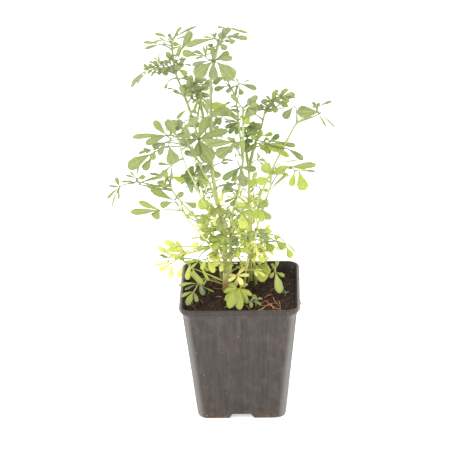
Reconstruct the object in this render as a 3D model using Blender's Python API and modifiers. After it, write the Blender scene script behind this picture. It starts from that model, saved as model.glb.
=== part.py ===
# A young rue in a square nursery pot.
# Every length below is in millimetres and is scaled to metres when a mesh is made.
# x runs to the right, y away from the viewer and z up. The plan of the plant is measured
# from the middle of the pot's foot, and the whole object is then moved by POT_AXIS.

from collections import namedtuple
from math import cos, pi, radians, sin

import bmesh
import bpy
from mathutils import Matrix, Vector

MM = 0.001
UP = Vector((0, 0, 1))
WELD = 0.00001

# Where the pot's axis stands in the object's frame, whose origin is the middle of its footprint.
POT_AXIS = (11.79, -11.69)

# Pot: a tapered body with fine ribs, a flared band over a small shoulder, and a lip round the top.
RIM_WIDTH = 90.0
POT_HEIGHT = 95.6
SHOULDER_Z = 89.0
SHOULDER_WIDTH = 85.4
SHOULDER_STEP = 0.25
FOOT_WIDTH = 66.5
WALL = 1.0
LIP_HEIGHT = 2.5
LIP_SLOPE = 0.2
BAND_TOP_WIDTH = 88.2
EDGE_ROUND = 0.4
RIM_CORNER = 10.0
FOOT_CORNER = 8.0
CORNER_STEPS = 4
RIBS_PER_SIDE = 10
RIB_DEPTH = 0.35

# Foot: a raised floor with a drain hole near each side, four corner pads and a notch in each side.
FLOOR_Z = 4.0
FLOOR_THICKNESS = 1.2
SKIRT = 1.3
FOOT_PAD = 13.0
NOTCH_FOOT_WIDTH = 19.5
NOTCH_TOP_WIDTH = 14.0
NOTCH_HEIGHT = 4.0
DRAIN_RADIUS = 4.0
DRAIN_OFFSET = 17.0
DRAIN_SIDES = 16
CUT_PAST = 1.0

# Soil
SOIL_Z = 87.0
SOIL_EDGE = 2.0
SOIL_RINGS = 3
BROAD_LUMPS = 0.72
FINE_LUMPS = 0.43
SEAT = 0.3
STEM_DEPTH = 9.0
HOLE_SIDES = 8

# Leaves and stems
BLADE = 0.62
STALK = 0.95
STALK_STEP = 12.0
STALK_BEND = 0.35
LEAFLET_FOOT = 1.0
LONG_LEAFLET = 17.0
LEAF_ARCH = 0.10
SINK = 0.7
STEM_STEP = 15.0
THIN_STEM = 0.96

# The outline of a spoon-shaped leaflet: shares of its length, and of its full width there.
LONG_OUTLINE = ((0.40, 0.56), (0.74, 1.0), (0.98, 0.42))
SHORT_OUTLINE = ((0.64, 1.0), (0.98, 0.46))

# The camera that took the reference picture, found from the corners of the pot's rim and foot.
IMAGE_SIZE = 452
FOCAL_PIXELS = 2411.0
CAMERA_DISTANCE = 1797.0
CAMERA_BEARING = radians(1.65)
CAMERA_ELEVATION = radians(23.70)
CAMERA_ROLL = radians(-1.31)
AIM_ACROSS = -9.6
AIM_HEIGHT = 144.8

# Stem: what it grows from, its radii, the bearing its leaves look along in degrees, its path and its leaves.
# Leaf: where its stalk starts, the hub its leaflets fan out from, the tip of its end leaflet, the kind of
# leaf, a leaflet's width as a share of its length, and how far its upper side looks up.
# A spot is a sight, which is a pixel across, a pixel down and a depth, or a Vector in millimetres.
Stem = namedtuple("Stem", "name root foot_radius top_radius faces path leaves")
Leaf = namedtuple("Leaf", "start hub tip kind width tilt")
Row = namedtuple("Row", "down")
Pair = namedtuple("Pair", "place angle length leaflets")

# A kind of leaf is its pairs of side leaflets, from the hub on; the end leaflet follows the last pair.
# place and length are shares of the way from the hub to the tip.
KINDS = {
    "one": [],
    "trio": [Pair(0.0, 50, 0.76, 1)],
    "five": [Pair(0.0, 62, 0.56, 1), Pair(0.30, 46, 0.54, 1)],
    "fern": [Pair(0.0, 62, 0.62, 3), Pair(0.32, 50, 0.46, 1)],
}
SIDE_TRIO = Pair(0.34, 42, 0.55, 1)

# The brown woody foot that the main stem grows on.
CROWN_PATH = [Vector((-11, 8, 88)), Vector((-11, 9, 96)), Vector((-11, 9, 102.7))]
CROWN = Stem("crown", "soil", 2.3, 1.8, -90, CROWN_PATH, [])

# The plant, stem by stem. A leaf's stalk starts where the stem crosses a row of the picture, at a height
# in millimetres, or on the last leaf's hub where that is None. It reaches its hub, and its end leaflet ends
# at its tip. Its upper side looks along the stem's bearing, raised by the leaf's tilt. A leaf whose spots
# are Vectors is hidden in the picture, or was bent clear of its neighbours.
PLANT = [
    Stem("stem_main", "crown_top", 1.7, 0.8, -90, [
        (225.5, 272, 9), (225, 255, 8), (223, 229, 5), (219.4, 208, 3), (215, 188, 1), (211.5, 163, -1),
        (211, 130, -3), (210.8, 100, -4), (211, 80, -5), (214.3, 61, -5), (218.3, 45, -5)
    ], [
        Leaf(Row(45), (219, 44, -6), (248, 39, -10), "trio", 0.26, 60),
        Leaf(Row(45), Vector((-10, -4, 290)), Vector((-3, 4, 295)), "five", 0.22, 50),
        Leaf(None, Vector((-8, -1, 291)), Vector((8, -8, 298)), "one", 0.12, 75),
        Leaf(None, Vector((-7, 2, 293)), Vector((-12, 9, 297)), "one", 0.16, 60),
        Leaf(Row(52), (219, 44, -9), Vector((-8, -15, 288)), "one", 0.45, 40),
        Leaf(Row(52), (214.5, 42.5, -2), (185.5, 48.5, 4), "one", 0.17, 60),
        Leaf(286, Vector((-25, 1, 280)), Vector((-37, 5, 283)), "one", 0.42, 40),
        Leaf(Row(61), (208, 60, -10), (196, 50.5, -14), "trio", 0.26, 30),
        Leaf(Row(61), (206, 60, -8), (192, 64, -12), "one", 0.28, 30),
        Leaf(Row(61), (217, 61, -8), (232, 57.5, -14), "one", 0.36, 30),
        Leaf(Row(61), (217, 60, -4), (229, 52, 0), "one", 0.34, 40),
        Leaf(Row(66), (218, 65, -9), (233, 79, -18), "one", 0.5, 25),
        Leaf(Row(72), (207, 66, -8), (194.5, 76, -14), "one", 0.5, 35),
        Leaf(Row(79), (211.8, 75, -8), (211.5, 62, -11), "one", 0.42, 20),
        Leaf(Row(92), (212.5, 83, -4), (222.5, 78, -2), "one", 0.42, 50),
        Leaf(249, Vector((-21, -10, 259)), Vector((-25, -10, 258)), "one", 0.46, 45),
        Leaf(Row(118), (222, 108, -8), (240, 112, -14), "five", 0.3, 60),
        Leaf(Row(133), (205, 128, -8), (201, 114, -10), "one", 0.34, 25),
        Leaf(Row(175), (204, 172, 8), (180, 182, 14), "five", 0.42, 55),
        Leaf(Row(190), (224, 186, -8), (233, 192, -14), "trio", 0.42, 55),
        Leaf(Row(214), Vector((-22, -9, 165)), Vector((-33, -12, 169)), "one", 0.55, 20),
        Leaf(Row(222), (215, 216, -10), (210, 226, -16), "one", 0.42, 20),
        Leaf(Row(232), (212, 228, -4), (199, 232, -12), "five", 0.42, 55),
        Leaf(Row(250), (217, 252, 16), (203, 247, 26), "five", 0.42, 55),
        Leaf(Row(240), Vector((-7, 23, 127)), Vector((2, 36, 125)), "trio", 0.42, 55),
    ]),
    Stem("stem_tall_left", "stem_main", 0.9, 0.6, -105, [
        (211.5, 166, -1), (199.5, 141.5, 6), (191, 114, 11), (183.3, 92.4, 14), (175.7, 73, 16),
        (172.5, 52, 18), (172.8, 38, 18)
    ], [
        Leaf(Row(39), (172, 37, 18), (183, 27, 22), "one", 0.16, 35),
        Leaf(Row(39), (174, 38, 17), (197, 26, 14), "one", 0.14, 35),
        Leaf(Row(44), (170, 41, 17), (154, 35, 12), "trio", 0.16, 85),
        Leaf(Row(50), (162, 44.5, 14), (138, 44, 8), "trio", 0.18, 85),
        Leaf(Row(56), (181, 51, 13), (191.5, 31, 9), "one", 0.28, 15),
        Leaf(Row(68), (176.5, 62, 12), (182, 48, 10), "one", 0.24, 15),
        Leaf(Row(68), (173.5, 62, 14), (167, 51.5, 12), "one", 0.32, 20),
        Leaf(Row(72), (182, 66, 12), (193, 52, 12), "one", 0.42, 30),
        Leaf(Row(72), (163, 65, 12), (142, 68, 4), "fern", 0.26, 80),
        Leaf(Row(72), (157, 66, 22), (132, 87, 28), "trio", 0.18, 85),
        Leaf(Row(74), (182, 64, 20), (191, 65, 24), "one", 0.5, 60),
        Leaf(Row(78), (172, 80, 12), (165.5, 88, 8), "one", 0.38, 35),
        Leaf(Row(97), Vector((-36, 20, 245)), Vector((-30, 29, 250)), "trio", 0.42, 45),
        Leaf(Row(103), (184, 96, 8), (182, 86, 2), "trio", 0.4, 35),
        Leaf(Row(120), (184, 122, 4), (177, 131, -2), "trio", 0.26, 40),
    ]),
    Stem("stem_inner_left", "stem_main", 0.8, 0.55, -100, [
        (218, 206, 3), (210.5, 186, -5), (202.8, 170.5, -10), (193.7, 152, -15), (187, 142.5, -17),
        (182.5, 132, -18)
    ], [
        Leaf(Row(152), Vector((-47, -24, 220)), (132.5, 138.5, -30), "one", 0.25, 30),
        Leaf(None, Vector((-49, -25, 221)), Vector((-66, -34, 223)), "one", 0.3, 30),
        Leaf(None, Vector((-49, -24, 222)), Vector((-58, -24, 239)), "one", 0.36, 25),
        Leaf(None, Vector((-48, -24, 223)), Vector((-47, -24, 239)), "trio", 0.22, 25),
        Leaf(None, Vector((-47, -22, 222)), Vector((-34, -18, 223)), "one", 0.28, 25),
        Leaf(None, Vector((-48, -26, 219)), (176.3, 164, -32), "one", 0.42, 20),
        Leaf(None, Vector((-56, -28, 216)), Vector((-78, -34, 204)), "one", 0.36, 25),
        Leaf(None, Vector((-61, -27, 215)), Vector((-67, -35, 205)), "one", 0.36, 25),
        Leaf(Row(162), (194, 157, -20), (188, 154, -24), "one", 0.3, 30),
        Leaf(Row(142.5), (190, 137, -22), (198, 120, -26), "one", 0.28, 25),
        Leaf(Row(136), (182, 130, -20), (179, 119, -22), "one", 0.52, 25),
        Leaf(Row(174), Vector((-31, -4, 186)), Vector((-38, 2, 171)), "five", 0.4, 40),
    ]),
    Stem("stem_thin_left", "stem_main", 0.6, 0.45, -95, [
        (223, 226, 5), (210, 212, -10), (202, 199.5, -18), (194.5, 183, -22), (188.5, 171.3, -25),
        (183, 158, -27), (178.5, 140, -29)
    ], [
        Leaf(Row(140), (177, 137, -30), (167, 119, -34), "one", 0.26, 30),
        Leaf(Row(158.5), (172, 165, -28), (158, 179, -30), "trio", 0.2, 40),
        Leaf(Row(150), (189, 148, -26), (196, 158, -28), "one", 0.32, 25),
        Leaf(Row(198), (212, 196, -16), (222, 203, -22), "trio", 0.4, 55),
        Leaf(Row(214), (205, 217, -24), (197, 224, -32), "trio", 0.4, 50),
    ]),
    Stem("stem_low_left", "stem_main", 0.85, 0.5, -110, [
        (225, 252, 8), (209, 232, 3), (199.8, 222.4, 1), (184.6, 205.9, -3), (176, 196, -5),
        (171.3, 188, -6), (170.5, 175, -7)
    ], [
        Leaf(Row(190), (144, 183, -8), (118, 186, -12), "trio", 0.1, 85),
        Leaf(None, (122, 186, -12), (108.5, 199.5, -14), "trio", 0.1, 85),
        Leaf(Row(190.5), (158, 181, -2), (140, 178, 4), "trio", 0.16, 80),
        Leaf(Row(176), (173, 178, -8), (184.5, 180, -10), "one", 0.46, 25),
        Leaf(Row(176), (167, 177, -8), (157, 172, -12), "trio", 0.28, 40),
        Leaf(Row(185), (165, 186, -12), (160, 190, -18), "one", 0.5, 40),
        Leaf(Row(197), Vector((-50, -10, 172)), Vector((-67, -16, 185)), "one", 0.3, 25),
        Leaf(Row(199), (183, 198, -6), (189, 190, -8), "one", 0.34, 30),
        Leaf(Row(226), (197, 218, 6), (189, 212, 12), "one", 0.5, 55),
        Leaf(Row(236), (203, 241, 8), (191, 240, 12), "five", 0.4, 50),
    ]),
    Stem("stem_front_left", "stem_main", 0.75, 0.5, -95, [
        (225.3, 270, 9), (213, 250, -6), (201.6, 235, -16), (189.5, 221.5, -24), (181.5, 210.4, -28),
        (177, 203, -30)
    ], [
        Leaf(Row(210.4), (160, 210.5, -34), (130, 212, -40), "one", 0.24, 25),
        Leaf(None, (159, 209, -34), Vector((-71, -39, 181)), "one", 0.26, 25),
        Leaf(None, (159, 211, -34), (153, 219, -37), "one", 0.62, 25),
        Leaf(Row(205), (174, 203.5, -33), (160, 208, -38), "one", 0.46, 25),
        Leaf(Row(204), (176, 200, -32), (180, 190, -34), "one", 0.34, 25),
        Leaf(Row(218), (192, 206, -30), (199, 203, -34), "one", 0.5, 50),
        Leaf(Row(243), (203, 243, -22), (198, 252, -28), "one", 0.5, 35),
        Leaf(Row(252), (207, 258, -12), (214, 273, -20), "trio", 0.4, 30),
    ]),
    Stem("stem_fork", "soil", 1.2, 0.65, -90, [
        (229.5, 291, 4), (230.5, 257, 0), (231, 225, -3), (234.8, 204, -6), (238.7, 191, -8),
        (241, 176, -11), (243, 160, -13), (243, 130, -15), (242.8, 108, -15)
    ], [
        Leaf(Row(109), (241, 106, -16), (231, 94, -18), "one", 0.26, 25),
        Leaf(Row(109), (245, 106, -16), (258, 96, -20), "one", 0.3, 25),
        Leaf(Row(112), (248, 108, -18), Vector((14, -23, 252)), "trio", 0.36, 35),
        Leaf(Row(135), (250, 130, -12), (262, 128, -8), "one", 0.5, 60),
        Leaf(Row(145), (232, 143, -18), (205, 143.5, -28), "trio", 0.22, 30),
        Leaf(Row(150), (240, 143, -20), (206, 130, -26), "one", 0.26, 25),
        Leaf(205, (232.5, 144.8, -20), (217, 156.5, -24), "one", 0.4, 20),
        Leaf(Row(178), Vector((1, -19, 198)), Vector((-10, -26, 191)), "one", 0.46, 20),
        Leaf(None, Vector((1, -19, 198)), Vector((-6, -28, 191)), "one", 0.34, 20),
        Leaf(None, Vector((1, -19, 197)), Vector((5, -28, 186)), "one", 0.5, 20),
        Leaf(None, Vector((2, -19, 198)), Vector((13, -23, 198)), "one", 0.44, 25),
        Leaf(Row(195), Vector((-2, -17, 180)), Vector((-6, -23, 179)), "one", 0.5, 55),
        Leaf(Row(218), (241, 212, -14), (253, 214, -22), "trio", 0.42, 45),
        Leaf(Row(228), (238, 224, -14), (246, 230, -22), "five", 0.42, 40),
        Leaf(Row(240), (222, 240, -10), (213, 250, -18), "trio", 0.42, 40),
        Leaf(Row(252), (238, 248, -8), (249, 252, -16), "trio", 0.42, 40),
        Leaf(Row(266), (222, 262, -6), (210, 266, -14), "trio", 0.42, 40),
    ]),
    Stem("stem_fork_side", "stem_fork", 0.75, 0.5, -90, [
        (243, 158, -13), (240.5, 140, -8), (237.5, 112, -3), (235, 95, 0), (230.8, 88, 1)
    ], [
        Leaf(Row(88), (228, 86, 1), (214.5, 91, -2), "one", 0.34, 25),
        Leaf(Row(90), Vector((-6, -1, 253)), Vector((-8, -5, 250)), "one", 0.5, 25),
        Leaf(Row(96), (240, 86, 2), (256, 88, 0), "trio", 0.3, 30),
        Leaf(None, (239, 86, 3), Vector((7, 8, 259)), "one", 0.5, 45),
        Leaf(Row(97), (239, 88, 0), (242, 95, -3), "one", 0.48, 25),
        Leaf(Row(112), (230, 106, 4), (216, 106, 2), "trio", 0.42, 55),
        Leaf(Row(128), (231, 122, 4), (220, 124, 0), "one", 0.5, 40),
    ]),
    Stem("stem_back_top", "soil", 1.45, 0.6, -75, [
        (250.5, 279, 27), (250, 257, 29), (249.5, 215, 27), (249.6, 171, 25), (255.5, 141.5, 24),
        (261, 128, 23), (265, 112, 22)
    ], [
        Leaf(Row(113), (271, 103, 20), (295.5, 94.5, 14), "five", 0.36, 85),
        Leaf(Row(114), (268, 108, 26), (262, 100, 34), "trio", 0.4, 60),
        Leaf(Row(120), (273, 110, 18), (290, 104, 10), "five", 0.4, 80),
        Leaf(Row(120), (256, 114, 22), (247, 122, 18), "trio", 0.46, 40),
        Leaf(Row(134), (265, 133, 30), (279, 136, 36), "five", 0.42, 55),
        Leaf(Row(146), (262, 143, 18), (275, 146, 12), "five", 0.42, 45),
        Leaf(Row(165), (257, 160, 32), (268, 164, 42), "trio", 0.42, 55),
        Leaf(Row(180), (243, 176, 34), (234, 182, 44), "trio", 0.42, 55),
        Leaf(Row(200), (241, 196, 34), (230, 200, 44), "trio", 0.42, 55),
        Leaf(Row(215), (257, 211, 34), (268, 214, 44), "trio", 0.42, 55),
        Leaf(Row(240), (258, 240, 36), (268, 248, 46), "trio", 0.42, 50),
    ]),
    Stem("stem_far_right", "soil", 1.0, 0.6, -75, [
        (256, 283, 19), (253, 250, 19), (251.5, 222, 17), (256, 205, 14), (265.2, 184.6, 10),
        (275, 163.7, 8), (286.5, 141.3, 5), (297, 123, 3), (308, 117, 0), (317.5, 112, -1)
    ], [
        Leaf(Row(123), (292.5, 107.5, 1), (283.5, 117, -3), "one", 0.46, 25),
        Leaf(Row(122), (300, 110.5, 0), (316, 112.5, -4), "trio", 0.46, 60),
        Leaf(Row(112), (320, 106, -2), (333, 103, -4), "trio", 0.12, 85),
        Leaf(Row(112), (320, 113, -2), (335.3, 128.5, -5), "one", 0.1, 50),
        Leaf(None, (319, 114, -2), Vector((65, -9, 227)), "one", 0.11, 50),
        Leaf(Row(112), (316, 108, 0), (312, 102, 4), "one", 0.5, 50),
        Leaf(Row(163.7), Vector((28, 7, 202)), Vector((31, 7, 213)), "one", 0.3, 30),
        Leaf(Row(168), Vector((31, 1, 205)), Vector((48, -7, 198)), "trio", 0.26, 35),
        Leaf(None, Vector((33, 0, 207)), Vector((43, -7, 207)), "trio", 0.3, 50),
        Leaf(Row(160), Vector((26, 15, 200)), Vector((21, 22, 205)), "trio", 0.34, 45),
        Leaf(Row(192), (257, 186, 16), (249, 188, 22), "trio", 0.42, 50),
        Leaf(Row(232), (266, 240, 12), (287, 240, 4), "five", 0.42, 35),
        Leaf(None, Vector((31, 2, 130)), Vector((38, -5, 120)), "trio", 0.36, 30),
        Leaf(Row(226), (262, 222, 20), (272, 228, 28), "trio", 0.42, 50),
        Leaf(Row(250), (262, 249, 26), (274, 254, 32), "trio", 0.4, 50),
    ]),
    Stem("stem_front_right", "soil", 0.85, 0.55, -85, [
        (244, 290, 4), (247.5, 262, -2), (254.5, 237, -8), (259.2, 220.8, -12), (265.2, 202.5, -16),
        (270, 188, -19), (271.3, 174, -20)
    ], [
        Leaf(Row(175), (270, 172, -21), (262, 163, -24), "one", 0.52, 25),
        Leaf(Row(175), (273, 172, -21), (283, 169, -26), "one", 0.42, 35),
        Leaf(Row(180), (270, 178, -22), (257, 182, -28), "one", 0.52, 25),
        Leaf(Row(188), (288, 172, -22), (316, 165, -28), "trio", 0.24, 50),
        Leaf(None, (291, 171, -23), (291.5, 187, -27), "one", 0.46, 15),
        Leaf(None, (294, 170, -23), (304, 190, -28), "one", 0.5, 15),
        Leaf(None, (295, 170, -23), (316, 172, -24), "one", 0.1, 50),
        Leaf(Row(200), (259, 199, -20), (250, 204, -28), "trio", 0.34, 40),
        Leaf(Row(212), Vector((20, -21, 170)), Vector((24, -28, 163)), "five", 0.4, 30),
        Leaf(Row(232), (262, 232, -16), (271, 240, -24), "trio", 0.42, 35),
        Leaf(Row(245), Vector((7, -12, 139)), Vector((3, -21, 141)), "trio", 0.42, 40),
        Leaf(Row(258), (256, 254, -12), (264, 262, -20), "trio", 0.42, 35),
    ]),
    Stem("stem_behind", "stem_main", 0.7, 0.5, -90, [
        (214, 178, 2), (207, 140, 16), (203, 118, 20), (198, 100, 23), (193, 86, 25)
    ], [
        Leaf(Row(87), Vector((-34, 28, 249)), Vector((-39, 33, 250)), "one", 0.5, 40),
        Leaf(Row(88), Vector((-27, 26, 250)), Vector((-21, 27, 250)), "one", 0.5, 55),
        Leaf(Row(97), (201, 93, 20), (206, 98, 16), "one", 0.5, 40),
        Leaf(Row(104), (195, 100, 18), (190, 97, 14), "one", 0.5, 45),
        Leaf(Row(118), (198, 115, 26), (192, 110, 32), "one", 0.5, 50),
        Leaf(Row(140), (214, 136, 24), (224, 138, 32), "five", 0.4, 55),
        Leaf(Row(152), (203, 150, 26), (194, 152, 36), "five", 0.4, 50),
    ]),
    Stem("leaf_yellow_left", "stem_main", 0.6, 0.45, -100, [
        Vector((-14, 3, 127)), Vector((-22, -2, 128)), Vector((-29, -4, 127)), Vector((-39, -6, 125)),
        Vector((-47, -8, 123))
    ], [
        Leaf(128, (199.5, 261, -8), (209, 281, -13), "one", 0.2, 20),
        Leaf(None, (197, 264, -8), (187.5, 279, -12), "one", 0.32, 20),
        Leaf(126, Vector((-32, -6, 128)), Vector((-32, -9, 137)), "one", 0.42, 20),
        Leaf(125, (183, 250, -6), (174, 240.5, -6), "one", 0.2, 30),
        Leaf(None, (181, 249.5, -7), (164.3, 241.5, -12), "one", 0.3, 30),
        Leaf(None, (180, 252, -9), (157.5, 247, -18), "one", 0.22, 30),
        Leaf(124, (179, 257, -12), (168, 255, -20), "one", 0.28, 30),
        Leaf(123, (171, 264.5, -8), (155, 265, -10), "one", 0.24, 30),
        Leaf(None, (170, 265.5, -9), (159, 271, -14), "one", 0.36, 25),
        Leaf(None, (172, 266, -9), (171, 278, -14), "one", 0.42, 20),
        Leaf(124, (181, 266, -9), (177.5, 278.5, -14), "one", 0.42, 20),
    ]),
    Stem("leaf_low_left", "crown", 0.45, 0.35, -90, [
        Vector((-11, 8, 93)), Vector((-28, 11, 96)), Vector((-31, 0, 97)), Vector((-34, -17, 99))
    ], [
        Leaf(97, Vector((-32, -1, 98)), Vector((-37, 11, 101)), "one", 0.42, 65),
        Leaf(97, Vector((-32, -3, 98)), Vector((-46, -11, 100)), "one", 0.36, 70),
        Leaf(97, Vector((-33, -3, 97)), Vector((-40, -10, 96)), "one", 0.3, 70),
        Leaf(97, Vector((-30, -3, 97)), Vector((-27, -12, 93)), "one", 0.5, 65),
        Leaf(99, Vector((-35, -16, 98)), Vector((-43, -22, 97)), "one", 0.34, 70),
        Leaf(99, Vector((-35, -15, 97)), Vector((-39, -29, 93)), "one", 0.42, 65),
        Leaf(99, Vector((-34, -17, 98)), Vector((-31, -25, 94)), "one", 0.4, 65),
    ]),
    Stem("leaf_front", "stem_fork", 0.7, 0.5, -90, [
        Vector((-8, 4, 91)), Vector((-6, -5, 94)), Vector((-2, -13, 95))
    ], [
        Leaf(95, Vector((-2, -15, 95)), Vector((-13, -14, 96)), "one", 0.5, 65),
        Leaf(None, Vector((-2, -16, 95)), Vector((-9, -33, 93)), "one", 0.5, 65),
        Leaf(None, Vector((-1, -16, 95)), Vector((1, -32, 89)), "one", 0.54, 65),
        Leaf(None, Vector((0, -15, 95)), Vector((10, -13, 96)), "one", 0.5, 65),
        Leaf(None, Vector((-2, -13, 95)), Vector((-7, -5, 99)), "one", 0.5, 60),
    ]),
    Stem("leaf_star", "crown", 0.6, 0.45, -90, [
        Vector((-9, 8, 96)), Vector((-5, 7, 100)), Vector((-2, 6, 102))
    ], [
        Leaf(102, Vector((-2, 5, 102)), Vector((-5, -4, 99)), "one", 0.36, 50),
        Leaf(None, Vector((-2, 6, 102)), Vector((-8, 9, 105)), "one", 0.36, 50),
        Leaf(None, Vector((-2, 5, 102)), Vector((0, -5, 96)), "one", 0.4, 50),
        Leaf(None, Vector((-1, 6, 102)), Vector((8, 5, 101)), "one", 0.38, 50),
        Leaf(None, Vector((-1, 7, 102)), Vector((5, 12, 106)), "one", 0.36, 50),
    ]),
    Stem("leaf_round", "soil", 0.7, 0.5, -80, [
        Vector((6, 22, 88)), Vector((9, 22, 95)), Vector((15, 20, 103))
    ], [
        Leaf(103, Vector((16, 19, 103)), Vector((14, 1, 95)), "one", 0.86, 40),
        Leaf(None, Vector((15, 20, 103)), Vector((11, 16, 107)), "one", 0.42, 50),
        Leaf(None, Vector((17, 20, 103)), Vector((22, 18, 106)), "one", 0.46, 50),
        Leaf(None, Vector((16, 21, 104)), Vector((18, 25, 110)), "one", 0.42, 40),
    ]),
    Stem("leaf_pale_right", "soil", 0.65, 0.45, -80, [
        Vector((18, 22, 88)), Vector((21, 18, 97)), Vector((26, 14, 104))
    ], [
        Leaf(104, Vector((27, 12, 103)), Vector((29, -6, 92)), "one", 0.36, 25),
        Leaf(None, Vector((28, 13, 104)), Vector((34, 11, 100)), "one", 0.44, 35),
        Leaf(None, Vector((27, 15, 105)), Vector((30, 16, 111)), "one", 0.4, 30),
        Leaf(None, Vector((25, 14, 105)), Vector((21, 17, 109)), "one", 0.46, 40),
        Leaf(None, Vector((26, 12, 103)), Vector((24, 6, 98)), "one", 0.44, 40),
    ]),
    Stem("seedling", "soil", 0.5, 0.4, -90, [
        Vector((12, -18, 88)), Vector((12, -17, 91)), Vector((12, -16, 94))
    ], [
        Leaf(93, Vector((9, -15, 94)), Vector((4, -12, 95)), "one", 0.6, 55),
        Leaf(93, Vector((14, -14, 95)), Vector((18, -10, 97)), "one", 0.55, 55),
        Leaf(94, Vector((14, -17, 94)), Vector((19, -18, 94)), "one", 0.55, 55),
        Leaf(93, Vector((11, -20, 93)), Vector((10, -26, 92)), "one", 0.6, 50),
        Leaf(94, Vector((13, -14, 96)), Vector((13, -9, 99)), "one", 0.55, 50),
    ]),
    Stem("stem_back_left", "soil", 0.8, 0.5, 110, [
        Vector((-15, 29, 88)), Vector((-18, 34, 110)), Vector((-24, 41, 138)), Vector((-31, 47, 165)),
        Vector((-34, 50, 184))
    ], [
        Leaf(184, Vector((-36, 52, 190)), Vector((-42, 58, 202)), "trio", 0.36, 40),
        Leaf(178, Vector((-28, 52, 186)), Vector((-18, 60, 190)), "trio", 0.38, 45),
        Leaf(168, Vector((-27, 54, 174)), Vector((-20, 62, 174)), "trio", 0.38, 50),
        Leaf(152, Vector((-24, 52, 156)), Vector((-16, 66, 154)), "trio", 0.38, 50),
        Leaf(138, Vector((-21, 50, 141)), Vector((-14, 58, 142)), "trio", 0.38, 50),
        Leaf(122, Vector((-22, 48, 122)), Vector((-28, 60, 114)), "trio", 0.4, 50),
    ]),
    Stem("stem_back_right", "soil", 0.8, 0.5, 75, [
        Vector((21, 31, 88)), Vector((22, 38, 104)), Vector((21, 44, 118)), Vector((16, 50, 136)),
        Vector((11, 54, 152))
    ], [
        Leaf(152, (252, 184, 54), (257, 172, 60), "one", 0.42, 40),
        Leaf(140, Vector((18, 51, 144)), Vector((25, 55, 140)), "trio", 0.38, 45),
        Leaf(146, Vector((5, 58, 148)), Vector((-1, 68, 148)), "trio", 0.38, 50),
        Leaf(126, Vector((21, 50, 130)), Vector((28, 54, 124)), "trio", 0.38, 45),
        Leaf(120, Vector((17, 51, 121)), Vector((21, 57, 111)), "one", 0.42, 45),
        Leaf(105, Vector((26, 45, 111)), Vector((34, 54, 109)), "trio", 0.4, 50),
    ]),
]


class Surface:
    """Points and triangles of an open surface, all wound to face the blade's upper side."""

    def __init__(self):
        self.points = []
        self.triangles = []

    def add_point(self, point):
        self.points.append(Vector(point))
        return len(self.points) - 1

    def add_quad(self, a, b, c, d):
        self.triangles.append((a, b, c))
        self.triangles.append((a, c, d))


def camera_axes():
    """The picture's directions to the right and up, and the way from the plant back to the camera."""
    level, rise = cos(CAMERA_ELEVATION), sin(CAMERA_ELEVATION)
    back = Vector((sin(CAMERA_BEARING) * level, -cos(CAMERA_BEARING) * level, rise))
    right = Vector((cos(CAMERA_BEARING), sin(CAMERA_BEARING), 0))
    up = back.cross(right)
    turned_right = right * cos(CAMERA_ROLL) + up * sin(CAMERA_ROLL)
    turned_up = up * cos(CAMERA_ROLL) - right * sin(CAMERA_ROLL)
    return turned_right, turned_up, back, right * AIM_ACROSS + UP * AIM_HEIGHT + back * CAMERA_DISTANCE


PICTURE_RIGHT, PICTURE_UP, CAMERA_BACK, CAMERA_EYE = camera_axes()


def placed(spot):
    """A spot of the plan as a place: a sight is followed to its depth, to a whole millimetre."""
    if isinstance(spot, Vector):
        return spot.copy()
    across, down, depth = spot
    sight = PICTURE_RIGHT * (across - IMAGE_SIZE / 2) - PICTURE_UP * (down - IMAGE_SIZE / 2)
    sight -= CAMERA_BACK * FOCAL_PIXELS
    point = CAMERA_EYE + sight * (depth - CAMERA_EYE.y) / sight.y
    return Vector([round(c) for c in point])


def row_of(point):
    """The row of the picture in which a place is seen."""
    offset = point - CAMERA_EYE
    return IMAGE_SIZE / 2 + FOCAL_PIXELS * offset.dot(PICTURE_UP) / offset.dot(CAMERA_BACK)


def height_in_row(path, down):
    """The height, to a whole millimetre, at which a rising path is seen in a row of the picture."""
    for a, b in zip(path, path[1:]):
        low, high = row_of(a), row_of(b)
        if min(low, high) <= down <= max(low, high) and low != high:
            return round(a.z + (b.z - a.z) * (down - low) / (high - low))
    return round(min((path[0], path[-1]), key=lambda end: abs(row_of(end) - down)).z)


def leaf_normal(axis, faces, tilt):
    """The way the upper side of a leaf looks when the leaf points along axis."""
    flat = cos(radians(tilt))
    look = Vector((cos(radians(faces)) * flat, sin(radians(faces)) * flat, sin(radians(tilt))))
    return (look - axis * look.dot(axis)).normalized()


def stalk_points(start, hub, axis):
    """A stalk that leaves start and reaches hub along the leaf's own axis."""
    reach = (hub - start).length
    bend = hub - axis * reach * STALK_BEND
    steps = max(1, min(3, round(reach / STALK_STEP)))
    points = []
    for step in range(steps):
        t = step / steps
        points.append(start * (1 - t) ** 2 + bend * 2 * t * (1 - t) + hub * t * t)
    return points


def edge_of_ribbon(surface, point, direction, normal, width):
    """Two points across a narrow ribbon, left one first."""
    across = normal.cross(direction)
    if across.length < 0.2:
        across = direction.orthogonal()
    across.normalize()
    left = surface.add_point(point + across * width / 2)
    right = surface.add_point(point - across * width / 2)
    return left, right


def add_leaflet(surface, left, right, along, normal, length, width):
    """A spoon-shaped leaflet that grows from the edge between two points."""
    foot = (surface.points[left] + surface.points[right]) / 2
    across = normal.cross(along).normalized()
    for share, spread in LONG_OUTLINE if length >= LONG_LEAFLET else SHORT_OUTLINE:
        rise = normal * LEAF_ARCH * length * sin(pi * share)
        middle = foot + along * length * share + rise
        next_left = surface.add_point(middle + across * width * spread / 2)
        next_right = surface.add_point(middle - across * width * spread / 2)
        surface.add_quad(left, right, next_right, next_left)
        left, right = next_left, next_right


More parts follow.
